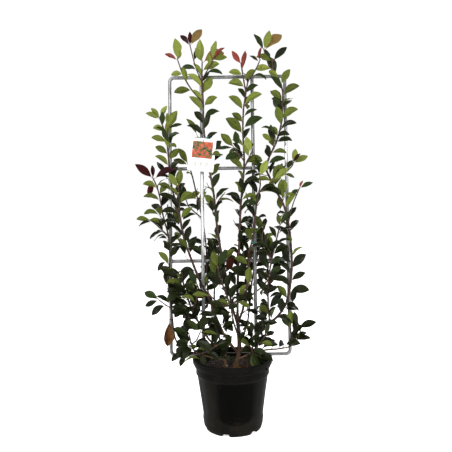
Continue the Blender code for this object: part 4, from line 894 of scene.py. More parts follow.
def height_on(path, z):
    """The first point of a rising path at this height."""
    for start, end in zip(path, path[1:]):
        if start.z <= z < end.z:
            return start.lerp(end, (z - start.z) / (end.z - start.z))
    return path[0]


def curve(points, step=STEM_STEP, first=()):
    """A smooth path through way-points, after the places that come first."""
    return smooth_path([*first, *(placed(p) for p in points)], step)


def stem_path(mass, k, step=STEM_STEP):
    """The path of one stem of a mass; a side stem springs from the main one."""
    if k == 0:
        return curve(mass.stems[0].points, step)
    root = height_on(curve(mass.stems[0].points), mass.stems[k].springs_at)
    return curve(mass.stems[k].points, step, [root])


def bent_twig(root, heading, reach):
    """A twig that sets out along its heading and then bends upward."""
    bend = root + heading * reach * TWIG_BEND
    upward = (heading + Vector((0, 0, TWIG_RISE))).normalized()
    return [root, bend, bend + upward * reach * (1 - TWIG_BEND)]


def twig_paths(mass, main, name):
    """Short seeded twigs, spread along the main stem and turned round it in steps."""
    whole = path_length(main)
    paths = []
    for i in range(mass.twigs):
        rng = random.Random(f"{SEED} {name} twig path {i}")
        share = (i + rng.uniform(0.3, 0.7)) / mass.twigs
        root, along = along_path(main, whole * (TWIG_FIRST + TWIG_SPAN * share))
        angle = math.radians(LEAF_TURN * 2 * i + rng.uniform(0, 60))
        heading = turned(along, angle, math.radians(rng.uniform(*TWIG_LIFT)))
        paths.append(bent_twig(root, heading, mass.twig_length * rng.uniform(*TWIG_REACH)))
    return paths


def tube_rings(path, radii, sides):
    """Rings of points round a path, with one radius, or one for each ring or each point of each ring."""
    line = np.array(path)
    along = np.array(tangents(path))
    side = np.cross(along, (0.0, 1.0, 0.0))
    flat = np.linalg.norm(side, axis=1) < 0.1
    side[flat] = np.cross(along[flat], (1.0, 0.0, 0.0))
    side /= np.linalg.norm(side, axis=1)[:, None]
    up = np.cross(side, along)
    turn = 2 * np.pi * np.arange(sides) / sides
    radii = np.full(len(path), radii) if np.isscalar(radii) else np.asarray(radii, float)
    radii = radii[:, None] if radii.ndim == 1 else radii
    out = np.cos(turn)[None, :, None] * side[:, None] + np.sin(turn)[None, :, None] * up[:, None]
    return line[:, None] + out * radii[:, :, None]


def add_tube(pile, path, radii, sides, look, tone=0.5):
    """Adds a round tube with a face at each end, whose pattern runs round it and along it."""
    rings = tube_rings(path, radii, sides)
    rows = len(path)
    walls = grid_faces(rows, sides, closed=True)
    caps = np.array([np.arange(sides)[::-1], np.arange(sides) + (rows - 1) * sides])
    steps = np.linalg.norm(np.diff(np.array(path), axis=0), axis=1)
    along = np.concatenate([[0], np.cumsum(steps)])
    places = np.stack([np.tile(np.arange(sides) / sides, rows), np.repeat(along, sides)], 1)
    pile.add(rings, [(walls[:, ::-1], look), (caps[:, ::-1], look)], places, tone)


def swollen(radii, path, nodes, swell, width):
    """Radii with a swelling at each node's distance along the path."""
    steps = [0.0]
    for start, end in zip(path, path[1:]):
        steps.append(steps[-1] + (end - start).length)
    steps = np.array(steps)
    factor = np.ones(len(steps))
    for node in nodes:
        factor += swell * np.exp(-((steps - node) / width) ** 2)
    return np.asarray(radii) * factor


# Leaves

@dataclass
class Leaf:
    """One leaf: the source's root, heading, length, droop and light, its kind and its own seed.

    stem holds its mass and its stem's number, and card the number of its stand-in in the crowd.
    """

    shape: tuple
    kind: str
    seed: str
    stem: tuple = ()
    card: int = -1


def wanted_leaves(path, stem, name, base):
    """The leaves along one stem and at its tip, as the source deals them, with those it leaves out."""
    whole = path_length(path)
    kinds = TIP_KINDS.get(base, {})
    leaves = []
    for i, distance in enumerate(node_places(path, stem)):
        rng = random.Random(f"{SEED} {name} {i}")
        share = distance / whole
        root, along = along_path(path, distance)
        angle = math.radians(stem.first + LEAF_TURN * i + rng.uniform(-LEAF_SPREAD, LEAF_SPREAD))
        lift = math.radians(rng.uniform(*LEAF_LIFT) - LIFT_FALL * share)
        length = stem.leaf * rng.uniform(*LEAF_SIZES) * (1 - TIP_SHORTENING * share)
        shape = (root, turned(along, angle, lift), length, rng.uniform(*LEAF_DROOP), light_side(root.z, rng))
        kind = stem_kind(share, root.z, rng)
        if share > RED_SHARE and set(kinds.values()) == {"red"}:
            kind = "red"
        leaves.append((Leaf(shape, kind, f"{name} {i}"), i % LEAF_CYCLE in LEAVES_KEPT))
    tip = path[-1] - (path[-1] - path[-2]).normalized() * ROOT_SUNK
    for bearing, length in stem.fan:
        rng = random.Random(f"{SEED} {name} fan {bearing}")
        tilt = math.radians(bearing)
        heading = Vector((math.sin(tilt), rng.uniform(-FAN_DEPTH, FAN_DEPTH), math.cos(tilt)))
        shape = (tip, heading, length, rng.uniform(*FAN_DROOP), light_side(tip.z, rng))
        kind = kinds.get(bearing) or stem_kind(1.0, tip.z, rng)
        leaves.append((Leaf(shape, kind, f"{name} fan {bearing}"), True))
    return leaves


def stem_kind(share, height, rng):
    """The kind of a leaf by its place: dark low down, fresh and pale towards the tips high up."""
    young = share * YOUNG_BY_SHARE + (height - YOUNG_ABOVE) * YOUNG_BY_HEIGHT
    draw = rng.random()
    if draw < (young - PALE_FROM) * PALE_RATE:
        return "pale"
    if draw < young * FRESH_RATE:
        return "fresh"
    return "dark"


def twig_leaves(path, length, name, shares=TWIG_LEAVES):
    """The leaves of one seeded twig, as the source deals them."""
    rng = random.Random(f"{SEED} {name}")
    whole = path_length(path)
    leaves = []
    for i, share in enumerate(shares):
        root, along = along_path(path, whole * share)
        angle = math.radians(LEAF_TURN * i + rng.uniform(0, 90))
        lift = math.radians(rng.uniform(*TWIG_LEAF_LIFT) - TWIG_LIFT_FALL * share)
        shape = (root, turned(along, angle, lift), length * rng.uniform(*TWIG_LEAF_SIZES),
                 rng.uniform(*LEAF_DROOP), light_side(root.z, rng))
        kind = stem_kind(TWIG_YOUTH, root.z, random.Random(f"{SEED} {name} kind {i}"))
        leaves.append(Leaf(shape, kind, f"{name} {i}"))
    return leaves


def seeded_twig(line, share, rng, lengths):
    """A twig from this share of a line, turned round it at random."""
    root, along = along_path(line, path_length(line) * share)
    angle = rng.uniform(0, 2 * math.pi)
    heading = turned(along, angle, math.radians(rng.uniform(*TWIG_LIFT)))
    return bent_twig(root, heading, rng.uniform(*lengths))


def fine_twigs(main, name):
    """Finer twigs than the source's, spread up the main stem by the same rule."""
    count = FINE_TWIGS[name]
    paths = []
    for i in range(count):
        rng = random.Random(f"{SEED} {name} fine path {i}")
        share = (i + rng.uniform(*TWIG_SPREAD)) / count
        paths.append(seeded_twig(main, TWIG_FIRST + FINE_SPAN * share, rng, FINE_LENGTH))
    return paths


def limb_twigs(name):
    """Leafy twigs of a mass from the limbs that pass through its reach."""
    paths = []
    for limb, first, last, count in LIMB_TWIGS.get(name, ()):
        line = curve(LIMBS[limb].points)
        for i in range(count):
            rng = random.Random(f"{SEED} {name} {limb} {i}")
            share = first + (last - first) * (i + rng.uniform(*TWIG_SPREAD)) / count
            paths.append(seeded_twig(line, share, rng, LIMB_TWIG_LENGTH))
    for limb, share, aim, reach in AIMED_TWIGS.get(name, ()):
        line = curve(LIMBS[limb].points)
        root = along_path(line, path_length(line) * share)[0]
        paths.append(bent_twig(root, Vector(aim).normalized(), reach))
    return paths


def variants(shape, tries):
    """The leaf turned and shortened in each of the ways tried."""
    root, heading, length, droop, light = shape
    for swing, scale in tries:
        yield root, Matrix.Rotation(math.radians(swing), 3, "Z") @ heading, length * scale, droop, light


def source_variant(shape, corners):
    """The turn and size at which the source kept this leaf, found on its mass, or None."""
    for tried in variants(shape, TRIES):
        points = leaf_shape(tried)[2:]
        found = sum(corners.find(point)[2] < MATCH for point in points)
        if found > len(points) // 2:
            return tried
    return None


def blade_frame(shape, steps):
    """Points along the midrib, and the way across and up from the blade at each."""
    root, heading, length, droop, light = shape
    line = leaf_line(root, heading, length, droop, steps)
    points = np.array([p for p, _ in line])
    along = np.array([a for _, a in line])
    up = np.array(light)[None] - along * (along @ np.array(light))[:, None]
    up /= np.linalg.norm(up, axis=1)[:, None]
    return points, along, np.cross(along, up), up


def as_card(corners, faces):
    """A small surface, with its middle and its reach."""
    corners = np.asarray(corners)
    middle = corners.mean(0)
    return corners, faces, middle, np.linalg.norm(corners - middle, axis=1).max()


def leaf_card(shape, swell=1.0):
    """A flat stand-in of a leaf for telling whether it crosses anything."""
    points, _, side, _ = blade_frame(shape, CARD_STEPS)
    rows = [round(s * CARD_STEPS) for s in CARD_SHARES]
    half = np.array(CARD_WIDTHS)[:, None] * BLADE_WIDTH[1] * shape[2] * swell / 2
    across = side[rows] * half
    corners = np.concatenate([points[rows] - across, points[rows], points[rows] + across])
    count = len(rows)
    faces = []
    for band in (0, count):
        for a in range(band, band + count - 1):
            faces += [(a, a + 1, a + count + 1), (a, a + count + 1, a + count)]
    return as_card(corners, faces)


class Crowd:
    """Everything placed so far, kept as small surfaces with their middles and reaches."""

    def __init__(self):
        self.trees, self.middles, self.reaches, self.owners = [], [], [], []

    def add(self, card, owner):
        """Adds a card and returns its number."""
        for held in (self.trees, self.middles, self.reaches):
            held.append(None)
        self.owners.append(owner)
        self.change(len(self.trees) - 1, card)
        return len(self.trees) - 1

    def change(self, index, card):
        """Puts another card in the place of one."""
        corners, faces, self.middles[index], self.reaches[index] = card
        self.trees[index] = BVHTree.FromPolygons(corners.tolist(), faces)

    def clear(self, card, skip=()):
        """Whether the card crosses nothing that isn't in skip."""
        corners, faces, middle, reach = card
        near = np.linalg.norm(np.array(self.middles) - middle, axis=1) < np.array(self.reaches) + reach
        test = BVHTree.FromPolygons(corners.tolist(), faces)
        for i in np.nonzero(near)[0]:
            if self.owners[i] not in skip and test.overlap(self.trees[i]):
                return False
        return True


def in_room(card, low, high):
    """Whether a card lies between two corners of a box."""
    return (card[0] >= low).all() and (card[0] <= high).all()


def free_variant(shape, crowd, room, own_stem):
    """The leaf turned or shortened until it is clear of the crowd and within its room, or None."""
    for tried in variants(shape, MORE_TRIES):
        card = leaf_card(tried, CARD_MARGIN)
        if in_room(card, *room) and crowd.clear(card, own_stem):
            return tried
    return None


def blade_outline(share):
    """Half the blade's width at each share of its length, as a share of the widest."""
    return np.maximum(np.sin(np.pi * share ** 1.14) ** 0.86, 0.02)


def blade_shape(leaf, middle, side, up, rng):
    """The blade's upper surface as rows of points, and its own upward way at each row."""
    length = leaf.shape[2]
    columns = np.array(BLADE_COLUMNS)[None]
    share = np.linspace(0, 1, BLADE_ROWS)
    swell = np.sin(np.pi * share)[:, None]
    half = rng.uniform(*BLADE_WIDTH) * length / 2 * blade_outline(share) * NARROWER.get(leaf.kind, 1.0)
    share, half = share[:, None], half[:, None]
    fold = rng.uniform(*BLADE_FOLD) + (YOUNG_FOLD if leaf.kind in ("red", "maroon") else 0.0)
    cup = rng.uniform(*BLADE_CUP)
    wave = rng.uniform(*BLADE_WAVE) * length
    ripples = rng.uniform(*BLADE_RIPPLES)
    phases = (rng.uniform(0, 6.3), rng.uniform(0, 6.3))
    turn = rng.uniform(-BLADE_TURN, BLADE_TURN)
    bow = rng.uniform(0.0, BLADE_BOW) * length
    if leaf.kind == "withered":
        fold, cup, turn = WITHERED_SHAPE
        wave = WITHERED_WAVE * length
    twist = turn * share
    blade_side = side * np.cos(twist) + up * np.sin(twist)
    blade_up = up * np.cos(twist) - side * np.sin(twist)
    middle = middle + blade_up * (bow * swell)
    teeth = np.where(np.arange(BLADE_ROWS) % 2 == 0, TEETH, -TEETH)[:, None]
    teeth[[0, -1]] = 0
    across = columns * half + np.sign(columns) * (np.abs(columns) == 1) * teeth
    right, left = (np.sin(2 * np.pi * ripples * share + phase) for phase in phases)
    rise = (fold * np.abs(columns) - cup * columns ** 2) * half
    rise = rise + wave * np.where(columns > 0, right, left) * columns ** 2 * swell
    upper = middle[:, None] + blade_side[:, None] * across[:, :, None] + blade_up[:, None] * rise[:, :, None]
    return upper, blade_up


def add_leaf(pile, leaf):
    """Adds one leaf: petiole, folded and arched blade with fine teeth, and the raised midrib beneath."""
    rng = random.Random(f"{SEED} blade {leaf.seed}")
    points, _, side, up = blade_frame(leaf.shape, PETIOLE_STEPS + BLADE_ROWS - 1)
    upper, blade_up = blade_shape(leaf, points[PETIOLE_STEPS:], side[PETIOLE_STEPS:], up[PETIOLE_STEPS:], rng)
    columns = np.array(BLADE_COLUMNS)
    share = np.linspace(0, 1, BLADE_ROWS)
    rib = np.abs(columns) < 0.01
    upper[1:-1, rib] -= blade_up[1:-1, None] * RIB_SUNK
    ribbed = RIB_THICKNESS * rib[None] * (1 - 0.75 * share[:, None])
    thick = BLADE_THICKNESS * (1 - columns[None] ** 4) + ribbed
    under = (upper - blade_up[:, None] * thick[:, :, None])[1:-1, 1:-1].reshape(-1, 3)
    rows, wide = BLADE_ROWS, len(columns)
    index = np.arange(rows * wide).reshape(rows, wide)
    below = index.copy()
    below[1:-1, 1:-1] = rows * wide + np.arange(len(under)).reshape(rows - 2, wide - 2)
    quads = grid_faces(rows, wide)
    top = index.ravel()[quads]
    bottom = below.ravel()[quads][:, ::-1]
    pattern = np.stack(np.broadcast_arrays(0.5 + 0.5 * columns[None], share[:, None]), 2)
    places = np.concatenate([pattern.reshape(-1, 2), pattern[1:-1, 1:-1].reshape(-1, 2)])
    tone = rng.random()
    pile.add(np.concatenate([upper.reshape(-1, 3), under]),
             [(top, f"{leaf.kind}_upper"), (bottom, f"{leaf.kind}_under")], places, tone)
    add_petiole(pile, points, leaf.shape[2], tone)


def add_petiole(pile, points, length, tone):
    """The leaf's stalk, from inside the stem to a little way under the blade."""
    path = [Vector(p) for p in points[:PETIOLE_STEPS + 2]]
    path[-1] = path[-1] - Vector((0, 0, PETIOLE_UNDER))
    line = smooth_path(path, FINE_STEP)
    broad = PETIOLE_RADIUS * length
    radii = np.linspace(broad * TWIG_TAPER[0], broad * TWIG_TAPER[1], len(line))
    radii[-1] = broad * END_SHRINK
    add_tube(pile, line, radii, 5, "petiole", tone)


# Materials

class Look:
    """A Principled material and short calls that add nodes to it."""

    def __init__(self, name, roughness=0.5, metallic=0.0, specular=0.5):
        self.material = bpy.data.materials.new(name)
        self.material.use_nodes = True
        self.tree = self.material.node_tree
        self.shader = self.tree.nodes["Principled BSDF"]
        self.shader.inputs["Roughness"].default_value = roughness
        self.shader.inputs["Metallic"].default_value = metallic
        self.shader.inputs["Specular IOR Level"].default_value = specular

    def node(self, kind, wires=None, **settings):
        """A node of this kind, with its settings, and its inputs given by name or number."""
        made = self.tree.nodes.new(kind)
        for key, value in settings.items():
            setattr(made, key, value)
        for key, value in (wires or {}).items():
            self.wire(value, made.inputs[key])
        return made

    def wire(self, value, socket):
        """Links a socket, or sets a plain value."""
        if isinstance(value, bpy.types.NodeSocket):
            self.tree.links.new(value, socket)
        else:
            socket.default_value = value

    def into(self, socket, value):
        """Wires a value into the shader."""
        self.wire(value, self.shader.inputs[socket])

    def math(self, operation, *values, clamp=False):
        """One step of arithmetic."""
        made = self.node("ShaderNodeMath", dict(enumerate(values)), operation=operation, use_clamp=clamp)
        return made.outputs[0]

    def place(self, scale=(1, 1, 1)):
        """The world's own coordinates, in metres, stretched by scale."""
        where = self.node("ShaderNodeTexCoord").outputs["Object"]
        return self.node("ShaderNodeMapping", {"Vector": where, "Scale": scale}).outputs[0]

    def noise(self, scale, detail=3.0, roughness=0.5, where=None):
        """Noise over the piece's surface."""
        wires = {"Vector": where or self.place(), "Scale": scale, "Detail": detail, "Roughness": roughness}
        return self.node("ShaderNodeTexNoise", wires).outputs["Fac"]

    def ramp(self, value, stops):
        """A colour ramp, its stops given as (place, colour)."""
        made = self.node("ShaderNodeValToRGB", {"Fac": value})
        for i, (where, colour) in enumerate(stops):
            stop = made.color_ramp.elements[i] if i < 2 else made.color_ramp.elements.new(where)
            stop.position = where
            stop.color = (*colour, 1)
        return made.outputs["Color"]

    def mix(self, share, first, second):
        """Two colours mixed."""
        made = self.node("ShaderNodeMix", data_type="RGBA")
        for value, socket in ((share, 0), (first, 6), (second, 7)):
            if isinstance(value, tuple) and len(value) == 3:
                value = (*value, 1)
            self.wire(value, made.inputs[socket])
        return made.outputs[2]

    def tone(self):
        """The piece's own tone at each point."""
        return self.node("ShaderNodeAttribute", attribute_name="tone").outputs["Fac"]

    def height(self):
        """The height above the ground, in metres."""
        return self.node("ShaderNodeSeparateXYZ", {0: self.place()}).outputs[2]

    def fit(self, value, factor, offset, clamp=True):
        """A value times a factor plus an offset."""
        return self.math("MULTIPLY_ADD", value, factor, offset, clamp=clamp)

    def cells(self, scale, stretch=(1, 1, 1)):
        """A pattern of cells: distance from each middle, and colour."""
        return self.node("ShaderNodeTexVoronoi", {"Vector": self.place(stretch), "Scale": scale}).outputs

    def paint(self, value, *stops):
        """Gives the surface its colours along a value."""
        self.into("Base Color", self.ramp(value, stops))

    def relief(self, height, distance, strength):
        """Gives the surface a fine relief."""
        wires = {"Height": height, "Distance": distance, "Strength": strength}
        self.into("Normal", self.node("ShaderNodeBump", wires).outputs[0])


def scaled(colour, factor):
    """A lighter or darker colour."""
    return tuple(min(1.0, c * factor) for c in colour)


def leaf_look(kind, side):
    """One side of a leaf: tone by leaf, mottling, midrib and side veins."""
    upper = side == "upper"
    top, under, gloss = LEAF_KINDS[kind]
    colour = top if upper else under
    gloss = gloss if upper else UNDER_GLOSS
    look = Look(f"leaf_{kind}_{side}", gloss, specular=0.07 if upper else 0.03)
    split = look.node("ShaderNodeSeparateXYZ", {0: look.node("ShaderNodeUVMap").outputs[0]})
    out = look.math("ABSOLUTE", look.fit(split.outputs[0], 2.0, -1.0, False))
    along = look.math("MULTIPLY", split.outputs[1], 11.0)
    slant = look.fit(look.math("POWER", out, 0.8), -1.5, along, False)
    near = look.math("ABSOLUTE", look.math("SUBTRACT", look.math("FRACT", slant), 0.5))
    vein = look.math("SUBTRACT", 1.0, look.math("MULTIPLY", near, 9.0, clamp=True), clamp=True)
    rib = look.math("SUBTRACT", 1.0, look.math("MULTIPLY", out, 15.0, clamp=True), clamp=True)
    if kind == "withered":
        base = look.ramp(look.noise(60.0, 4.0), ((0.3, scaled(colour, 0.45)), (0.55, colour),
                                                 (0.75, (0.050, 0.045, 0.012))))
    else:
        shade = look.fit(look.noise(95.0, 4.0), 0.5, look.math("MULTIPLY", look.tone(), 0.5), False)
        base = look.ramp(shade, ((0.2, scaled(colour, 0.62)), (0.8, scaled(colour, 1.5))))
    pale = scaled(colour, 2.6 if upper else 1.7)
    veined = look.mix(look.math("MULTIPLY", vein, 0.12 if upper else 0.22), base, pale)
    look.into("Base Color", look.mix(look.math("MULTIPLY", rib, 0.45 if upper else 0.7), veined, pale))
    fine = look.noise(900.0, 2.0)
    look.into("Roughness", look.fit(fine, 0.12, gloss - 0.06, False))
    veins = look.math("MULTIPLY", vein, -1.0 if upper else 1.0)
    height = look.math("ADD", veins, look.math("MULTIPLY", fine, 0.25))
    look.relief(height, 0.0003 if upper else 0.0004, 0.55)
    return look.material


def petiole_look():
    """Red-brown leaf stalks, greener with their leaf's tone."""
    look = Look("petiole", 0.45)
    look.paint(look.tone(), (0.1, (0.042, 0.015, 0.0080)), (0.9, (0.056, 0.036, 0.0110)))
    look.relief(look.noise(700.0), 0.0002, 0.4)
    return look.material


def young_bark_look():
    """Leafy stems: red-brown with a green cast, and paler dots."""
    look = Look("young_bark", 0.55, specular=0.2)
    patches = look.noise(70.0, 4.0)
    red = look.ramp(patches, ((0.3, (0.014, 0.0056, 0.0042)), (0.75, (0.038, 0.015, 0.011))))
    green = look.ramp(patches, ((0.3, (0.016, 0.0062, 0.0046)), (0.75, (0.038, 0.016, 0.011))))
    look.into("Base Color", look.mix(look.fit(look.height(), 1.4, -0.9), red, green))
    dots = look.math("LESS_THAN", look.cells(420.0, (1, 1, 0.5))[0], 0.16)
    look.relief(look.math("ADD", dots, look.noise(320.0, 4.0)), 0.0005, 0.6)
    return look.material


def bark_look():
    """Trunks and boughs: orange tan at the foot, red-brown above, with lenticels and fine cracks."""
    look = Look("bark", 0.7, specular=0.2)
    fibres = look.noise(60.0, 6.0, 0.6, look.place((1, 1, 0.22)))
    low = look.ramp(fibres, ((0.25, (0.019, 0.0096, 0.0045)), (0.5, (0.060, 0.0325, 0.0158)),
                             (0.8, (0.125, 0.076, 0.041))))
    high = look.ramp(fibres, ((0.25, (0.012, 0.0064, 0.0044)), (0.55, (0.033, 0.0165, 0.0105)),
                              (0.85, (0.076, 0.046, 0.031))))
    look.into("Base Color", look.mix(look.fit(look.height(), 9.0, -2.35), low, high))
    dot = look.math("LESS_THAN", look.cells(190.0, (1, 1, 1.8))[0], 0.17)
    relief = look.math("ADD", look.math("MULTIPLY", dot, 0.8), look.math("MULTIPLY", fibres, 2.0))
    look.into("Roughness", look.fit(fibres, 0.3, 0.5, False))
    look.relief(relief, 0.0010, 0.7)
    return look.material


def pot_look():
    """Near-black moulded plastic with a soft sheen, faint scuffs, a little dust low down, painted shade in
    the sunken panels and a painted sheen on the raised wall.
    """
    look = Look("pot_plastic", 0.5, specular=0.02)
    scuffs = look.noise(24.0, 6.0, 0.62, look.place((1, 1, 0.5)))
    # Painted shade for the sunken panels, and a lighter painted sheen for the raised wall, mixed by the pot's
    # tone.
    painted_shade_recess = look.ramp(scuffs, ((0.35, (0.0004, 0.0004, 0.0003)), (0.8, (0.0011, 0.0011, 0.0009))))
    raised = look.ramp(scuffs, ((0.35, (0.0032, 0.0030, 0.0023)), (0.8, (0.0076, 0.0071, 0.0056))))
    base = look.mix(look.fit(look.tone(), 1.2, -0.1), painted_shade_recess, raised)
    low = look.fit(look.height(), -14.0, 1.0)
    dust = look.math("MULTIPLY", look.fit(scuffs, 4.0, -1.9), low)
    dusty = look.mix(look.math("MULTIPLY", dust, 0.5), base, (0.020, 0.013, 0.008))
    speck = look.math("LESS_THAN", look.cells(46.0)[0], 0.045)
    look.into("Base Color", look.mix(look.math("MULTIPLY", speck, 0.35), dusty, (0.060, 0.055, 0.048)))
    look.into("Roughness", look.fit(scuffs, 0.26, 0.40, False))
    grain = look.math("MULTIPLY", look.noise(1500.0, 2.0), 0.2)
    look.relief(look.fit(scuffs, 1.5, grain, False), 0.0006, 0.5)
    return look.material


def zinc_look():
    """Galvanised tube: spangled grey zinc with dull patches, runs with a painted highlight, and a darker run.
    """
    look = Look("galvanised_tube", 0.4, metallic=1.0)
    spangle = look.cells(210.0, (1, 1, 0.5))[1]
    grey = look.node("ShaderNodeSeparateColor", {0: spangle}).outputs[0]
    dull = look.noise(14.0, 5.0, 0.6)
    base = look.ramp(grey, ((0.0, (0.125, 0.128, 0.126)), (1.0, (0.215, 0.219, 0.215))))
    dulled = look.mix(look.fit(dull, 2.2, -0.9), base, (0.086, 0.088, 0.086))
    tone = look.tone()
    # Tone above the middle paints a highlight on the zinc; tone below it makes the zinc darker.
    highlighted = look.mix(look.fit(tone, 2.0, -1.0), dulled, (0.66, 0.665, 0.66))
    look.into("Base Color", look.mix(look.fit(tone, -2.0, 1.0), highlighted, (0.012, 0.011, 0.009)))
    look.into("Roughness", look.fit(dull, 0.3, look.fit(grey, 0.12, 0.30, False), False))
    look.relief(look.noise(420.0, 3.0), 0.0002, 0.35)
    return look.material


def soil_look():
    """Damp, nearly black potting mix."""
    look = Look("potting_soil", 0.95, specular=0.2)
    clods = look.noise(150.0, 6.0, 0.65)
    look.paint(clods, (0.3, (0.0018, 0.0012, 0.0006)), (0.55, (0.0052, 0.0033, 0.0016)),
               (0.8, (0.014, 0.0084, 0.0040)))
    look.relief(clods, 0.003, 0.9)
    return look.material


def crumb_look(name, dark, light):
    """Chips, moss or grit, each crumb with its own tone."""
    look = Look(name, 0.85, specular=0.2)
    tone = look.math("MULTIPLY", look.tone(), 0.5)
    look.paint(look.fit(look.noise(330.0, 4.0), 0.6, tone, False), (0.2, dark), (0.8, light))
    look.relief(look.noise(600.0, 3.0), 0.0006, 0.7)
    return look.material


def plain_look(name, settings, mottle, stops, relief=()):
    """A material with one mottled colour, and a fine relief given as its noise, depth and strength."""
    look = Look(name, **settings)
    look.paint(look.noise(*mottle), *stops)
    if relief:
        grain, distance, strength = relief
        look.relief(look.noise(*grain), distance, strength)
    return look.material


def make_looks():
    """Every material by its short name."""
    looks = {f"{kind}_{side}": leaf_look(kind, side) for kind in LEAF_KINDS for side in ("upper", "under")}
    looks.update({"petiole": petiole_look(), "young_bark": young_bark_look(), "bark": bark_look(),
                  "pot": pot_look(), "zinc": zinc_look(), "soil": soil_look()})
    looks.update({key: plain_look(*row) for key, row in PLAIN_LOOKS.items()})
    looks.update({key: crumb_look(*row) for key, row in CRUMB_LOOKS.items()})
    return looks


# Plant

def node_mesh(name):
    """The corners and triangles of a CAD node."""
    data = frame["nodes"][name].data
    data.calc_loop_triangles()
    points = [v.co.copy() for v in data.vertices]
    return points, [tuple(t.vertices) for t in data.loop_triangles]


def corners_of(name):
    """A CAD node's corners, kept so that the nearest one is found fast."""
    points = node_mesh(name)[0]
    tree = KDTree(len(points))
    for i, point in enumerate(points):
        tree.insert(point, i)
    tree.balance()
    return tree


def ring_card(path, radius, sides):
    """A plain tube round a path, for the crowd."""
    rings = tube_rings(path, radius, sides).reshape(-1, 3)
    quads = grid_faces(len(path), sides, closed=True)
    return as_card(rings, [(a, b, c) for a, b, c, _ in quads] + [(a, c, d) for a, _, c, d in quads])


def plan_plant():
    """Paths and placed leaves of every mass, those of the source first and then the finer ones."""
    crowd, openings = Crowd(), Crowd()
    for space in (crowd, openings):
        for view in OPEN_VIEWS:
            add_opening(space, *view)
        for window in OPEN_SKY:
            add_window(space, *window)
    for name in frame["nodes"]:
        if not name.endswith("_foliage"):
            crowd.add(as_card(*node_mesh(name)), name)
    plan = {name: plan_mass(name, mass, crowd, openings) for name, mass in MASSES.items()}
    for name, grown in plan.items():
        for leaf in grown["leaves"]:
            lengthen(leaf, crowd, grown["room"], name)
    for name, grown in plan.items():
        for leaf in grown["rest"]:
            place_leaf(leaf, grown, crowd, name)
    for name, grown in plan.items():
        grow_twigs(name, MASSES[name], grown, crowd)
    turn_old_leaves(plan)
    return plan


def plan_mass(name, mass, crowd, openings):
    """The stems and twigs of one mass, and those of its leaves that stand where the source has them."""
    stems = [(stem_path(mass, k), stem, f"{name} stem {k}") for k, stem in enumerate(mass.stems)]
    corners = corners_of(name)
    twigs = [(path, f"{name} twig {i}") for i, path in enumerate(twig_paths(mass, stems[0][0], name))
             if corners.find(path[-1])[2] < TIP_RADIUS * 1.6]
    low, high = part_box(name)
    grown = {"stems": stems, "twigs": twigs, "leaves": [], "rest": [],
             "room": (np.array(low) - REACH_PAST, np.array(high) + REACH_PAST)}
    for path, stem, _ in stems:
        for start in range(0, len(path) - 1, 2):
            crowd.add(ring_card(path[start:start + 3], stem.foot * 0.8, 4), (name, "stem"))
    for path, _ in twigs:
        crowd.add(ring_card(path, TIP_RADIUS, 3), (name, "stem"))
    for k, (path, stem, label) in enumerate(stems):
        for leaf, kept in wanted_leaves(path, stem, label, (name, k)):
            leaf.stem = (name, k)
            found = source_variant(leaf.shape, corners) if kept else None
            keep_leaf(leaf, found, grown, crowd, openings, name)
    for path, label in twigs:
        for leaf in twig_leaves(path, mass.stems[0].leaf, label):
            keep_leaf(leaf, source_variant(leaf.shape, corners), grown, crowd, openings, name)
    return grown


def grow_twigs(name, mass, grown, crowd):
    """Adds the finer twigs that find room, first those of the main stem and then those of the limbs."""
    length = mass.stems[0].leaf * FINE_LEAF
    main = grown["stems"][0][0]
    twigs = [(path, f"{name} fine {i}", length) for i, path in enumerate(fine_twigs(main, name))]
    twigs += [(path, f"{name} limb {i}", LIMB_LEAF) for i, path in enumerate(limb_twigs(name))]
    for path, label, leaf_length in twigs:
        card = ring_card(path[1:], TIP_RADIUS, 3)
        if crowd.clear(card):
            grown["twigs"].append((path, label))
            crowd.add(card, (name, "stem"))
            for leaf in twig_leaves(path, leaf_length, label, FINE_LEAVES):
                place_leaf(leaf, grown, crowd, name)


def add_opening(crowd, leg, low, high):
    """Two upright sheets from a leg towards the front, which leaves stay clear of."""
    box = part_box(leg)
    middle = (box[0][0] + box[1][0]) / 2
    near = middle * (CAMERA_PLACE[1] - OPEN_FRONT) / CAMERA_PLACE[1]
    (z0, y0), (z1, y1) = LEG_LEAN
    corners = []
    for side in (-OPEN_HALF, OPEN_HALF):
        for z in (low, high):
            y = y0 + (z - z0) / (z1 - z0) * (y1 - y0) - OPEN_GAP
            corners += [(middle + side, y, z), (near + side, OPEN_FRONT, z)]
    faces = [(0, 1, 3), (0, 3, 2), (4, 5, 7), (4, 7, 6), (0, 1, 5), (0, 5, 4), (2, 3, 7), (2, 7, 6)]
    crowd.add(as_card(corners, faces), "opening")


def add_window(crowd, x, z, wide, tall):
    """Upright sheets that fill one opening from front to back, along the line of sight."""
    eye_x, eye_y, eye_z = CAMERA_PLACE
    count = max(2, math.ceil(2 * wide / OPEN_STEP) + 1)
    for i in range(count):
        across = x - wide + 2 * wide * i / (count - 1)
        corners = []
        for height in (z - tall, z + tall):
            for y in OPEN_DEPTH:
                share = (y - eye_y) / -eye_y
                corners.append((eye_x + (across - eye_x) * share, y, eye_z + (height - eye_z) * share))
        crowd.add(as_card(corners, [(0, 1, 3), (0, 3, 2)]), "opening")


def keep_leaf(leaf, found, grown, crowd, openings, name):
    """Keeps a leaf where the source has it, or puts it by for another place."""
    if found:
        shape = facing(found, leaf.seed)
        card = leaf_card(shape)
        if openings.clear(card):
            leaf.shape = shape
            leaf.card = crowd.add(card, (name, leaf.seed))
            grown["leaves"].append(leaf)
            return
    grown["rest"].append(leaf)


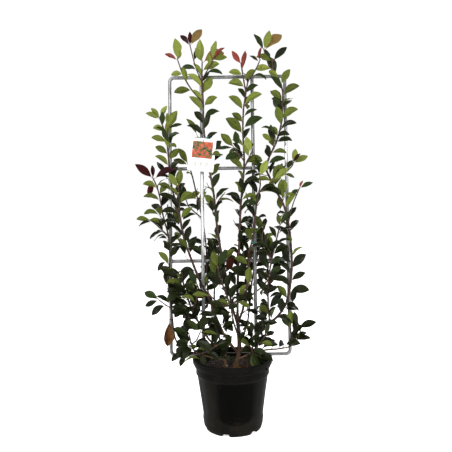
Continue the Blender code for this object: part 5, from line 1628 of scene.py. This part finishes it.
def lengthen(leaf, crowd, room, name):
    """Lets a leaf grow past the source's length where nothing is in its way."""
    root, heading, length, droop, light = leaf.shape
    if leaf.stem in TIP_GROWTH and "fan" not in leaf.seed:
        return
    low = room[0] - (WITHERED_LOWER if leaf.kind == "withered" else 0)
    for growth in TIP_GROWTH.get(leaf.stem, GROWTH if root.z > GROWTH_ABOVE else ()):
        shape = (root, heading, length * growth, droop, light)
        card = leaf_card(shape, CARD_MARGIN)
        if in_room(card, low, room[1]) and crowd.clear(card, {(name, "stem"), (name, leaf.seed)}):
            leaf.shape = shape
            crowd.change(leaf.card, card)
            return


def facing(shape, seed):
    """The same leaf with its blade turned about its midrib, clearly to the front or clearly to the back."""
    root, heading, length, droop, light = shape
    if seed in FACE_ON:
        return root, heading, length, droop, Vector(FACE_ON_LIGHT).normalized()
    rng = random.Random(f"{SEED} facing {seed}")
    high = min(1.0, max(0.0, (root.z - TURN_HEIGHT) / TURN_BAND / 2 + 0.5))
    away = rng.random() < SHOWN_UNDER[0] + (SHOWN_UNDER[1] - SHOWN_UNDER[0]) * high
    depth = rng.uniform(*FACING) * (1 if away else -1)
    across = light.x + rng.uniform(-FACING_ACROSS, FACING_ACROSS)
    return root, heading, length, droop, Vector((across, depth, light.z)).normalized()


def place_leaf(leaf, grown, crowd, name):
    """Puts a leaf where it is clear, or leaves it out."""
    shape = facing(leaf.shape, leaf.seed)
    found = free_variant(shape, crowd, grown["room"], {(name, "stem")})
    if found:
        leaf.shape = found
        grown["leaves"].append(leaf)
        crowd.add(leaf_card(found), (name, leaf.seed))


def turn_old_leaves(plan):
    """Turns the leaf nearest to each old leaf's place."""
    for name, (x, z) in OLD_LEAVES:
        def far(leaf):
            root, heading, length, _, _ = leaf.shape
            middle = root + heading * length * 0.5
            return math.hypot(middle.x - x, middle.z - z)
        min(plan[name]["leaves"], key=far).kind = "old"


def node_places(path, stem):
    """Distances of the leaf nodes along a stem."""
    count = max(0, int((path_length(path) - stem.bare) / stem.gap))
    return [stem.bare + stem.gap * i for i in range(count)]


def add_bud(pile, path, distance, angle):
    """A small pointed bud in the angle between a leaf and its stem."""
    root, along = along_path(path, distance + BUD_ABOVE)
    out = turned(along, angle, math.radians(BUD_OFF))
    tip = root + turned(along, angle, math.radians(BUD_LEAN)) * BUD_SIZE * BUD_LENGTH
    line = [root + out * 0.0006, root.lerp(tip, 0.45) + out * 0.0004, root.lerp(tip, 0.75), tip]
    add_tube(pile, line, [BUD_SIZE * share for share in BUD_RADII], 5, "bud")


def add_stem(wood, name, mass, k, path, label):
    """One leafy stem, swollen at its nodes, with a bud in each leaf's angle and one at its tip."""
    stem = mass.stems[k]
    nodes = node_places(path, stem)
    line = stem_path(mass, k, FINE_STEP)
    end = TIP_RADIUS * (SIDE_STEM_TIP if k else STEM_TIP)
    radii = np.array(taper(stem.foot * (SIDE_STEM_SWELL if k else STEM_SWELL), end, len(line)))
    radii = swollen(radii, line, nodes, *NODE_SWELL)
    if k:
        radii[:3] *= np.array(SIDE_STEM_ROOT)[:len(line)]
    radii[-1] *= END_SHRINK
    add_tube(wood, line, radii, STEM_ROUND, "young_bark")
    for i, distance in enumerate(nodes):
        rng = random.Random(f"{SEED} {label} {i}")
        angle = math.radians(stem.first + LEAF_TURN * i + rng.uniform(-LEAF_SPREAD, LEAF_SPREAD))
        add_bud(wood, path, distance, angle)
    if stem.fan and (name, k) != WITHERED_STEM:
        way = (path[-1] - path[-2]).normalized()
        add_tube(wood, [path[-1] + way * rise for rise in TIP_BUD], TIP_BUD_RADII, 6, "bud")


def dress_mass(name, mass, grown, looks):
    """The two pieces of a mass: its twigs with their buds, and its leaves with their petioles."""
    wood = Pile()
    for k, (path, _, label) in enumerate(grown["stems"]):
        add_stem(wood, name, mass, k, path, label)
    for path, _ in grown["twigs"]:
        line = smooth_path(path, FINE_STEP)
        radii = np.array(taper(TIP_RADIUS * TWIG_TAPER[0], TIP_RADIUS * TWIG_TAPER[1], len(line)))
        radii[0] *= SIDE_STEM_ROOT[0]
        radii[-1] *= END_SHRINK
        add_tube(wood, line, radii, STEM_ROUND - 2, "young_bark")
    wood.piece(f"{name}_twigs", looks, [name], "foliage")
    blades = Pile()
    for leaf in grown["leaves"]:
        add_leaf(blades, leaf)
    blades.piece(f"{name}_leaves", looks, [name], "foliage")


def limb_relief(line, distances, limb):
    """How far each point of a limb stands out or in: ridges, and on a trunk the lobes of its root flare."""
    rough = np.ones((len(line), LIMB_ROUND))
    for i, distance in enumerate(distances):
        lobes = 0 if limb.parent else FLARE_LOBES * math.exp(-(distance / 0.014) ** 2)
        for j in range(LIMB_ROUND):
            angle = 2 * math.pi * j / LIMB_ROUND
            place = Vector((math.cos(angle) * 1.3, math.sin(angle) * 1.3, distance * 90))
            place += Vector((0, 0, limb.foot * 5000))
            rough[i, j] += RIDGES * noise.noise(place) + FINE_RIDGES * noise.noise(place * 2.7)
            rough[i, j] += lobes * math.cos(3 * angle + limb.foot * 900)
    return rough


def dress_limb(name, limb, looks):
    """A trunk or bough with swellings, ridges and, where it rises from the soil, a root flare."""
    line = curve(limb.points, FINE_STEP * 0.8)
    radii = np.array(taper(limb.foot, limb.tip, len(line)))
    whole = path_length(line)
    distances = np.linspace(0, whole, len(line))
    radii = swollen(radii, line, np.arange(0.02, whole, 0.024), *LIMB_SWELL)
    radii = radii * (1 + (limb.flare - 1) * np.exp(-(distances / 0.012) ** 2))
    if limb.parent:
        radii = radii * (1 + COLLAR_SWELL * np.exp(-((distances - limb.foot) / 0.007) ** 2))
    radii = radii[:, None] * limb_relief(line, distances, limb)
    if not limb.parent:
        line = [line[0] - Vector((0, 0, ROOT_SUNK)), *line]
        radii = np.concatenate([radii[:1] * 1.04, radii])
    pile = Pile()
    add_tube(pile, line, radii, LIMB_ROUND, "bark")
    pile.piece(f"{name}_bark", looks, [name], "bark", 60)


# Pot and soil

def pot_outside():
    """The pot's outline as (radius, height), from under its middle up the outside to the lip's top."""
    heel = FOOT_RADIUS + 0.0066
    outline = [(0.0, 0.0026), (0.060, 0.0024), (FOOT_RADIUS - 0.010, 0.0012), (FOOT_RADIUS - 0.002, 0.0),
               (FOOT_RADIUS + 0.002, 0.0), (FOOT_RADIUS + 0.0042, 0.0006), (FOOT_RADIUS + 0.0062, 0.0028)]
    for i in range(1, HEEL_ROWS + 1):
        share = i / HEEL_ROWS
        outline.append((heel + (HEEL_RADIUS - FOOT_RADIUS - 0.0066) * math.sin(share * math.pi / 2),
                        0.005 + (HEEL_HEIGHT - 0.005) * share))
    for i in range(1, WALL_ROWS):
        share = i / WALL_ROWS
        outline.append((HEEL_RADIUS + (WALL_TOP_RADIUS - HEEL_RADIUS) * share,
                        HEEL_HEIGHT + (POT_LEDGE - 0.002 - HEEL_HEIGHT) * share))
    outline += [(WALL_TOP_RADIUS + out, POT_LEDGE + up)
                for out, up in ((-0.0006, -0.001), (0.0003, 0), (0.0008, 0.0012))]
    outline += [(WALL_TOP_RADIUS + out, WALL_TOP + up)
                for out, up in ((0.0002, -0.004), (0, -0.002), (0.0012, -0.0004))]
    outline += [(COLLAR_RADIUS - 0.0022, WALL_TOP + 0.0006), (COLLAR_RADIUS - 0.001, WALL_TOP + 0.0018),
                (COLLAR_RADIUS, COLLAR_TOP - 0.002), (COLLAR_RADIUS + 0.0004, COLLAR_TOP - 0.0006)]
    outline += [(RIM_RADIUS + out, COLLAR_TOP + up)
                for out, up in ((-0.0036, -0.0002), (-0.0018, 0.0004), (-0.0012, 0.0016))]
    outline += [(RIM_RADIUS - 0.0012 + 0.0012 * i / 5, COLLAR_TOP + (LIP_HEIGHT - 0.003) * i / 5)
                for i in range(1, 5)]
    return outline + [(RIM_RADIUS + out, POT_HEIGHT + up) for out, up in (
        (0, -0.0028), (-0.0003, -0.0013), (-0.0011, -0.0004), (-0.0022, 0))]


def pot_inside():
    """The rest of the outline: over the lip and down the inside to the floor's middle."""
    inner = COLLAR_RADIUS - POT_WALL
    outline = [(inner + out, POT_HEIGHT + up)
               for out, up in ((0.0012, 0), (0.0003, -0.0005), (0, -0.0016), (0, -0.012))]
    return outline + [
        (inner, WALL_TOP + POT_WALL * 2 + 0.001), (WALL_TOP_RADIUS - POT_WALL, WALL_TOP - 0.001),
        (HEEL_RADIUS - POT_WALL, HEEL_HEIGHT + POT_WALL), (FOOT_RADIUS - POT_WALL, POT_FLOOR + 0.001),
        (FOOT_RADIUS - 0.010, POT_FLOOR), (0.0, POT_FLOOR)]


def smooth_step(value):
    """A smooth rise from 0 to 1."""
    value = min(1.0, max(0.0, value))
    return value * value * (3 - 2 * value)


def off_middle(turn, middle, count):
    """How far a turn is from the nearest of the evenly spaced middles."""
    between = 2 * math.pi / count
    return abs((turn - middle + between / 2) % between - between / 2)


def flute_depth(turn, z):
    """How far a panel is set into the wall at this turn and height."""
    off = off_middle(turn, FLUTE_MIDDLE, FLUTE_COUNT)
    across = 1 - smooth_step((off - FLUTE_FLAT) / FLUTE_SLOPE)
    groove = math.exp(-((off - FLUTE_FLAT) / FLUTE_EDGE) ** 2) * 0.35
    groove += math.exp(-((off - FLUTE_FLAT - FLUTE_SLOPE) / FLUTE_EDGE) ** 2) * 0.25
    foot = smooth_step((z - FLUTE_FOOT - 0.010 * (off / FLUTE_FLAT) ** 2) / FLUTE_EDGE)
    top = smooth_step((POT_LEDGE - 0.001 - z) / 0.003)
    return FLUTE_DEPTH * (across + groove) * foot * top


def dress_pot(looks):
    """The pot: lip, collar, ledge, four shallow panels, notched foot, inside and floor."""
    outside = pot_outside()
    outline = outside + pot_inside()
    rings, tones = [], []
    for i, (r, z) in enumerate(outline[1:-1], 1):
        out = i < len(outside) - 1
        for turn in 2 * np.pi * np.arange(POT_ROUND) / POT_ROUND:
            radius, height, depth = r, z, 0.0
            if out and HEEL_HEIGHT < z < POT_LEDGE and r > HEEL_RADIUS * 0.9:
                depth = flute_depth(turn, z)
                radius -= depth
            # The tone paints shade into the sunken panels and their grooves, and sheen onto the wall around
            # them.
            tones.append(1 - depth / FLUTE_DEPTH if out and z < POT_LEDGE else 0.5)
            if out and r > FOOT_RADIUS * 0.6:
                radius += POT_WARP * noise.noise(Vector((math.cos(turn) * 2, math.sin(turn) * 2, z * 14)))
            if out and z < NOTCH_HEIGHT:
                height = notched(turn, radius, height)
            rings.append((radius * math.cos(turn), radius * math.sin(turn), height))
    pile = Pile()
    add_closed(pile, rings, len(outline) - 2, (outline[0][1], outline[-1][1]), "pot", tones)
    add_nub(pile)
    pile.piece("nursery_pot", looks, ["pot"], "pot_plastic", 40)


def add_closed(pile, rings, rows, ends, look, tones=None, flip=False):
    """Adds a turned body: rings of points, closed by a point on the axis at each of two heights."""
    count = len(rings)
    sides = count // rows
    here = np.arange(sides)
    after = (here + 1) % sides
    last = count - sides
    quads = grid_faces(rows, sides, closed=True)
    caps = [np.stack([np.full(sides, count), after, here], 1),
            np.stack([np.full(sides, count + 1), last + here, last + after], 1)]
    if flip:
        quads = quads[:, ::-1]
        caps = [cap[:, [0, 2, 1]] for cap in caps]
    points = np.concatenate([rings, [(0, 0, end) for end in ends]])
    tone = 0.5 if tones is None else np.concatenate([tones, [0.5, 0.5]])
    pile.add(points, [(faces, look) for faces in (quads, *caps)], tone=tone)


def notched(turn, radius, height):
    """The height of the foot's edge, drawn up at each of its notches."""
    off = off_middle(turn, 2 * math.pi / NOTCH_COUNT * 0.25, NOTCH_COUNT) * FOOT_RADIUS
    share = 1 - smooth_step((off - NOTCH_WIDTH / 2 + 0.002) / 0.003)
    lift = NOTCH_HEIGHT * 0.8 * share * smooth_step((radius - FOOT_RADIUS + 0.012) / 0.006)
    return height + lift * (1 - height / NOTCH_HEIGHT)


def add_nub(pile):
    """The small moulded nub under the lip at the right."""
    turn = math.radians(-32)
    place = Vector((math.cos(turn), math.sin(turn), 0))
    root = place * (COLLAR_RADIUS - 0.001) + Vector((0, 0, COLLAR_TOP - 0.006))
    add_tube(pile, [root, root + place * 0.002, root + place * 0.0042, root + place * 0.0048],
             [0.0035, 0.0034, 0.0028, 0.0012], 12, "pot")


def clods(x, y):
    """How far the soil's clods stand up at a place."""
    lump = noise.noise(Vector((x * 45, y * 45, 3))) * 0.0030
    lump += noise.noise(Vector((x * 130, y * 130, 8))) * 0.0022
    lump += abs(noise.noise(Vector((x * 260, y * 260, 5)))) * 0.0020
    return lump


def dress_soil(looks):
    """The soil: a body that fills the pot, its top broken into clods."""
    inner = COLLAR_RADIUS - POT_WALL - CLEAR * 2
    top = []
    for i in range(1, SOIL_RINGS + 1):
        radius = inner * i / SOIL_RINGS
        settle = 0.003 * (radius / inner) ** 6
        for j in range(SOIL_TURNS):
            turn = 2 * math.pi * j / SOIL_TURNS
            x, y = radius * math.cos(turn), radius * math.sin(turn)
            top.append((x, y, SOIL_TOP - 0.0010 + clods(x, y) - settle))
    floor = HEEL_HEIGHT + POT_WALL
    rings = [np.array(top)]
    for radius, z in ((WALL_TOP_RADIUS - POT_WALL - CLEAR * 2, WALL_TOP - 0.004),
                      (HEEL_RADIUS - POT_WALL - CLEAR * 4, floor)):
        ring = rings[0][-SOIL_TURNS:].copy()
        ring[:, :2] *= radius / inner
        ring[:, 2] = z
        rings.append(ring)
    pile = Pile()
    add_closed(pile, np.concatenate(rings), SOIL_RINGS + 2, (SOIL_TOP + 0.001, floor), "soil", flip=True)
    pile.piece("potting_mix", looks, ["soil"], "potting_soil", 60)
    dress_crumbs(looks, inner)
    dress_litter(looks, inner)


def add_lump(pile, place, size, look, rng, flat=0.6):
    """A rough chip or lump: a small deformed block of rounded facets."""
    corners = []
    for z in (-1, 0, 1):
        for i in range(5):
            turn = 2 * math.pi * (i + 0.5 * z) / 5
            wide = (0.62 if z else 1.0) * rng.uniform(0.75, 1.15)
            tall = z * flat * rng.uniform(0.8, 1.2)
            corners.append(Vector((math.cos(turn) * wide, math.sin(turn) * wide, tall)))
    spin = Matrix.Rotation(rng.uniform(0, 6.3), 3, "Z") @ Matrix.Rotation(rng.uniform(-0.5, 0.5), 3, "X")
    stretch = rng.uniform(1.0, 2.1)
    points = [place + spin @ Vector((c.x * size * stretch, c.y * size, c.z * size)) for c in corners]
    quads = grid_faces(3, 5, closed=True)
    caps = np.array([np.arange(5)[::-1], np.arange(5) + 10])
    pile.add(np.array(points), [(quads, look), (caps, look)], tone=rng.random())


def soil_place(rng, inner, z):
    """A seeded place anywhere on the soil, this far above it."""
    radius = inner * math.sqrt(rng.uniform(0, 0.92))
    turn = rng.uniform(0, 2 * math.pi)
    return Vector((radius * math.cos(turn), radius * math.sin(turn), SOIL_TOP + z))


def dress_crumbs(looks, inner):
    """Chips and grit over the soil, and patches of moss."""
    rng = random.Random(f"{SEED} litter")
    crumbs = Pile()
    for look, count, rise, low, high, flat in CRUMBS:
        for _ in range(count):
            place = soil_place(rng, inner, rise)
            add_lump(crumbs, place, rng.uniform(low, high), look, rng, flat)
    for x, y, spread, count in MOSS:
        for _ in range(count):
            place = Vector((rng.gauss(x, spread), rng.gauss(y, spread * 0.6), SOIL_TOP + 0.0015))
            if place.xy.length < inner - 0.006:
                add_lump(crumbs, place, rng.uniform(0.0012, 0.0030), "moss", rng, 0.9)
    crumbs.piece("soil_crumbs", looks, [], "potting_soil", 40)


def dress_litter(looks, inner):
    """Old leaves, most of them at the stems' feet, and the stub of a cut stem."""
    litter = Pile()
    for i in range(LITTER_COUNT):
        draw = random.Random(f"{SEED} litter leaf {i}")
        if i < LITTER_AT_FEET:
            place = Vector((draw.gauss(0.012, 0.026), draw.gauss(-0.055, 0.026), SOIL_TOP + 0.004))
        else:
            place = soil_place(draw, inner * 0.85, 0.004)
        if place.xy.length > inner - 0.02:
            continue
        turn = draw.uniform(0, 2 * math.pi)
        heading = Vector((math.cos(turn), math.sin(turn), draw.uniform(-0.02, 0.16)))
        light = Vector((draw.uniform(-0.4, 0.4), draw.uniform(-0.4, 0.4), 1)).normalized()
        length = draw.uniform(0.014, 0.032)
        if (place + heading * length).xy.length > inner - 0.008:
            continue
        kind = "old" if draw.random() < 0.6 else "withered"
        add_leaf(litter, Leaf((place, heading, length, draw.uniform(0.1, 0.5), light), kind, f"litter {i}"))
    stub = [Vector((x, STUB_DEPTH, SOIL_TOP + rise)) for x, rise in STUB_LINE]
    add_tube(litter, stub, STUB_RADII, 12, "petiole")
    litter.piece("fallen_leaves", looks, [], "foliage")


# Rack, ties and tag

def on_rack(x, z, forward=0.0):
    """A place across the rack, at a height, this far in front of its plane."""
    return Vector((RACK_MIDDLE + x, rack_plane(z) - forward, z))


def side_line(side):
    """One side of the rack's outer frame, with its bend at the top and the foot."""
    across = RACK_HALF_WIDTH - RACK_BEND
    low, high = RACK_FOOT + RACK_BEND, RACK_TOP - RACK_BEND
    line = [on_rack(side * (across - SIDE_JOIN), RACK_FOOT)]
    for z, start in ((low, -90), (high, 0)):
        for i in range(BEND_STEPS + 1):
            turn = math.radians(start + 90 * i / BEND_STEPS)
            line.append(on_rack(side * (across + RACK_BEND * math.cos(turn)), z + RACK_BEND * math.sin(turn)))
        if z == low:
            rise = RACK_TOP - RACK_FOOT - 2 * RACK_BEND
            line += [on_rack(side * RACK_HALF_WIDTH, low + rise * (i / SIDE_STEPS))
                     for i in range(1, SIDE_STEPS)]
    return [*line, on_rack(side * (across - SIDE_JOIN), RACK_TOP)]


def tube_tones(name, line):
    """The tone of each point of a tube: plain zinc, with its runs of painted highlight and its darker run."""
    tones = np.full(len(line), 0.5)
    for axis, low, high, tone in TUBE_RUNS.get(name, ()):
        for i, point in enumerate(line):
            share = smooth_step((point[axis] - low) / RUN_EDGE) * smooth_step((high - point[axis]) / RUN_EDGE)
            tones[i] += (tone - 0.5) * share
    return np.repeat(tones, TUBE_ROUND)


def straight_line(start, end, count):
    """A straight line in a number of steps."""
    return [start.lerp(end, i / count) for i in range(count + 1)]


def add_open_tube(pile, path, tones):
    """A straight tube that is open at its far end, with its bore going some way in."""
    way = (path[-1] - path[-2]).normalized()
    side, up = ring_frame(way)
    lip = path[-1] - way * TUBE_LIP
    bore = TUBE_RADIUS - TUBE_WALL
    rings = []
    for point, radius in zip([*path[:-1], lip, path[-1], lip, path[-1] - way * TUBE_BORE],
                             [TUBE_RADIUS] * len(path) + [(TUBE_RADIUS + bore) / 2, bore, bore]):
        for i in range(TUBE_ROUND):
            turn = 2 * math.pi * i / TUBE_ROUND
            rings.append(point + radius * (math.cos(turn) * side + math.sin(turn) * up))
    rows = len(path) + 3
    quads = grid_faces(rows, TUBE_ROUND, closed=True)
    caps = np.array([np.arange(TUBE_ROUND)[::-1], np.arange(TUBE_ROUND) + (rows - 1) * TUBE_ROUND])
    tones = np.concatenate([tones, np.full(3 * TUBE_ROUND, 0.5)])
    pile.add(np.array(rings), [(quads[:, ::-1], "zinc"), (caps[:, ::-1], "zinc")], tone=tones)


def add_weld(pile, middle, axis, radius, rng):
    """A bead of small overlapping lumps round a joint."""
    side, up = ring_frame(axis)
    far, near = LUMP_HALVES
    end, thick, next_thick = LUMP_RADII
    for i in range(WELD_LUMPS):
        turn = 2 * math.pi * i / WELD_LUMPS
        out = math.cos(turn) * side + math.sin(turn) * up
        centre = middle + out * (radius + 0.0002)
        across = axis.cross(out).normalized()
        rise = out * 0.0003
        line = [centre - across * far, centre - across * near + rise, centre + across * near + rise,
                centre + across * far]
        add_tube(pile, line, [end, thick * rng.uniform(0.85, 1.15), next_thick, end], 6, "weld")


def rack_lines():
    """The middle line of each tube of the rack's frame."""
    short = RACK_HALF_WIDTH - RACK_BEND - BAR_JOIN
    between = RACK_HALF_WIDTH - TUBE_RADIUS * 0.8
    lines = {"rack_left_side": side_line(-1), "rack_right_side": side_line(1)}
    for name, z in (("rack_bottom_bar", RACK_FOOT), ("rack_top_bar", RACK_TOP)):
        lines[name] = straight_line(on_rack(-short, z), on_rack(short, z), BAR_STEPS)
    for name, z in RACK_BARS.items():
        lines[name] = straight_line(on_rack(-between, z), on_rack(between, z), SIDE_STEPS)
    return lines


def dress_rack(looks):
    """Round tubes with open leg ends, and the welds where they meet."""
    for name, line in rack_lines().items():
        pile = Pile()
        add_tube(pile, line, TUBE_RADIUS, TUBE_ROUND, "zinc", tube_tones(name, line))
        pile.piece(f"{name}_tube", looks, [name], "galvanised_tube")
    ahead = 2 * TUBE_RADIUS + CLEAR
    for name, offset in RACK_LEGS.items():
        pile = Pile()
        ends = on_rack(offset, RACK_LEG_FOOT, ahead), on_rack(offset, RACK_LEG_TOP, ahead)
        line = straight_line(*ends, LEG_STEPS)
        add_open_tube(pile, line, tube_tones(name, line))
        pile.piece(f"{name}_tube", looks, [name], "galvanised_tube")
    dress_welds(looks)


def dress_welds(looks):
    """Beads round the cross bars' ends, and rows of lumps where the legs touch the bars."""
    pile = Pile()
    rng = random.Random(f"{SEED} welds")
    for z in RACK_BARS.values():
        for side in (-1, 1):
            end = on_rack(side * (RACK_HALF_WIDTH - TUBE_RADIUS), z)
            add_weld(pile, end, Vector((side, 0, 0)), TUBE_RADIUS * 0.92, rng)
    half = Vector((ROW_HALF, 0, 0))
    thin, thick = ROW_RADII
    for offset in RACK_LEGS.values():
        for z in (RACK_FOOT, RACK_TOP, *RACK_BARS.values()):
            touch = on_rack(offset, z, TUBE_RADIUS + CLEAR / 2)
            for side in (-1, 1):
                for step in range(ROW_LUMPS):
                    shift = side * (ROW_OFF[0] + ROW_OFF[1] * (step % 2))
                    centre = touch + Vector(((step - (ROW_LUMPS - 1) / 2) * ROW_STEP, 0, shift))
                    radii = [thin, thick * rng.uniform(0.85, 1.1), thin]
                    add_tube(pile, [centre - half, centre, centre + half], radii, 6, "weld")
    pile.piece("rack_welds", looks, [], "galvanised_tube")


def tie_loop(name):
    """A closed loop once round a rack leg and a stem."""
    leg, mass, z = TIES[name]
    stem = MASSES[mass].stems[0]
    path = curve(stem.points)
    share = (z - path[0].z) / (path[-1].z - path[0].z)
    stem_radius = stem.foot + (TIP_RADIUS - stem.foot) * share
    centres = (on_rack(RACK_LEGS[leg], z, 2 * TUBE_RADIUS + CLEAR), height_on(path, z))
    radii = [radius + TIE_RADIUS + TIE_SLACK * 0.3 for radius in (TUBE_RADIUS, stem_radius)]
    apart = centres[1] - centres[0]
    bearing = math.atan2(apart.y, apart.x)
    lean = math.acos((radii[0] - radii[1]) / math.hypot(apart.x, apart.y))
    line = []
    for centre, radius, start, sweep in zip(centres, radii, (bearing + lean, bearing - lean),
                                            (2 * (math.pi - lean), 2 * lean)):
        for i in range(TIE_STEPS + 1):
            turn = start + sweep * i / TIE_STEPS
            line.append(Vector((centre.x + radius * math.cos(turn), centre.y + radius * math.sin(turn),
                                z + 0.0007 * math.sin(turn * 2))))
    return [*line, line[0]]


def dress_ties(looks):
    """Two thin ties, each once round a leg and a stem, with a twisted tail."""
    for name in TIES:
        pile = Pile()
        line = tie_loop(name)
        add_tube(pile, line, TIE_RADIUS, TIE_ROUND, "tie")
        front = min(line, key=lambda p: p.y)
        for strand in TIE_TAILS:
            fine = smooth_path([front + Vector(step) for step in strand], STRAND_STEP)
            add_tube(pile, fine, TIE_RADIUS * TIE_STRAND, TIE_ROUND, "tie")
        pile.piece(f"{name}_loop", looks, [name], "tie_plastic")


def rounded_outline(width, height, corner, steps=8):
    """The outline of a rectangle with round corners."""
    outline = []
    for x, z, start in ((1, 1, 0), (-1, 1, 90), (-1, -1, 180), (1, -1, 270)):
        for step in range(steps):
            turn = math.radians(start + 90 * step / (steps - 1))
            outline.append((x * (width / 2 - corner) + corner * math.cos(turn),
                            z * (height / 2 - corner) + corner * math.sin(turn)))
    return outline


def tag_matrix():
    """The tag's place: hung from its top's middle, turned, and leaning with the rack."""
    upright = Matrix.Rotation(math.radians(90) - RACK_LEAN, 4, "X")
    turned_back = Matrix.Rotation(TAG_TURN, 4, "Z") @ Matrix.Translation((0, -TAG_HEIGHT / 2, 0))
    return Matrix.Translation(placed(TAG_TOP_MIDDLE)) @ upright @ turned_back


def add_card(name, outline, low, high, look, nodes=(), hole=()):
    """A thin plate on the tag with this outline between two heights, with a round hole where one is given."""
    work = bmesh.new()
    edges = []
    for loop in (outline, hole):
        corners = [work.verts.new((x, y, high)) for x, y in loop]
        edges += [work.edges.new((corners[i], corners[(i + 1) % len(corners)])) for i in range(len(corners))]
    filled = bmesh.ops.triangle_fill(work, use_beauty=True, edges=edges)
    faces = [f for f in filled["geom"] if isinstance(f, bmesh.types.BMFace)]
    solid = bmesh.ops.extrude_face_region(work, geom=faces)
    for corner in solid["geom"]:
        if isinstance(corner, bmesh.types.BMVert):
            corner.co.z = low
    bmesh.ops.recalc_face_normals(work, faces=work.faces)
    work.transform(tag_matrix())
    data = bpy.data.meshes.new(name)
    work.to_mesh(data)
    work.free()
    data.materials.append(look)
    dressed(bpy.data.objects.new(name, data), nodes)


def dress_tag(looks):
    """The card with its punched hole, and on its face a mottled band and three plain leaf shapes."""
    face = TAG_THICKNESS / 2
    middle = TAG_HEIGHT / 2 - HOLE_DOWN
    turns = [2 * math.pi * i / HOLE_SIDES for i in range(HOLE_SIDES)]
    hole = [(HOLE_RADIUS * math.cos(turn), middle + HOLE_RADIUS * math.sin(turn)) for turn in turns]
    outline = rounded_outline(TAG_WIDTH, TAG_HEIGHT, TAG_CORNER)
    add_card("card_tag", outline, -face, face, looks["card"], ["tag"], hole)
    low, high = face - 0.0001, face + 0.00008
    panel = [(x, y + PANEL_UP) for x, y in rounded_outline(*PANEL_SIZE, 0.002)]
    add_card("tag_band", panel, low, high, looks["print"])
    share = np.linspace(0.02, 0.98, 14)
    half = INK_HALF * blade_outline(share)
    along = INK_LENGTH * (share - 0.5)
    edge = np.concatenate([np.stack([half, along], 1), np.stack([-half, along], 1)[::-1]])
    for i, (x, lean) in enumerate(INK_LEAVES):
        cos, sin = math.cos(math.radians(lean)), math.sin(math.radians(lean))
        leaf = [(x + u * cos - v * sin, INK_UP + u * sin + v * cos) for u, v in edge]
        add_card(f"tag_leaf_{i}", leaf, low, high, looks["ink"])


# Studio

def make_camera():
    """The photo's view."""
    data = bpy.data.cameras.new("camera")
    data.sensor_width = SENSOR
    data.lens = LENS
    camera = bpy.data.objects.new("camera", data)
    camera.matrix_world = Matrix.Translation(CAMERA_PLACE)
    for angle, axis in CAMERA_TURNS:
        camera.matrix_world = camera.matrix_world @ Matrix.Rotation(angle, 4, axis)
    bpy.context.scene.collection.objects.link(camera)
    bpy.context.scene.camera = camera


def add_light(name, place, aim, watts):
    """A large square light."""
    data = bpy.data.lights.new(name, "AREA")
    data.shape = "SQUARE"
    data.size = LIGHT_SIZE
    data.energy = watts
    light = bpy.data.objects.new(name, data)
    light.location = place
    light.rotation_euler = (Vector(aim) - Vector(place)).to_track_quat("-Z", "Y").to_euler()
    bpy.context.scene.collection.objects.link(light)


def make_studio():
    """A plain pale floor, an even pale surround and large soft lights."""
    world = bpy.data.worlds.new("studio")
    bpy.context.scene.world = world
    bpy.context.scene.view_settings.view_transform = "Standard"
    world.use_nodes = True
    background = world.node_tree.nodes["Background"]
    background.inputs[0].default_value = (1, 1, 1, 1)
    background.inputs[1].default_value = SURROUND
    for name, light in LIGHTS.items():
        add_light(name, *light)
    data = bpy.data.meshes.new("floor")
    corners = [(x * FLOOR_REACH, y * FLOOR_REACH, 0) for x, y in ((-1, -1), (1, -1), (1, 1), (-1, 1))]
    data.from_pydata(corners, [], [(0, 1, 2, 3)])
    floor = bpy.data.objects.new("floor", data)
    look = Look("floor", 0.9, specular=0.1)
    look.paint(look.noise(3.0), (0.3, (0.80, 0.80, 0.80)), (0.7, (0.82, 0.82, 0.82)))
    look.into("Emission Color", (1, 1, 1, 1))
    look.into("Emission Strength", FLOOR_GLOW)
    data.materials.append(look.material)
    bpy.context.scene.collection.objects.link(floor)


def main():
    """Makes the studio, plans the plant and dresses every part."""
    make_camera()
    make_studio()
    looks = make_looks()
    plan = plan_plant()
    for name, mass in MASSES.items():
        dress_mass(name, mass, plan[name], looks)
    for name, limb in LIMBS.items():
        dress_limb(name, limb, looks)
    dress_pot(looks)
    dress_soil(looks)
    dress_rack(looks)
    dress_ties(looks)
    dress_tag(looks)


main()
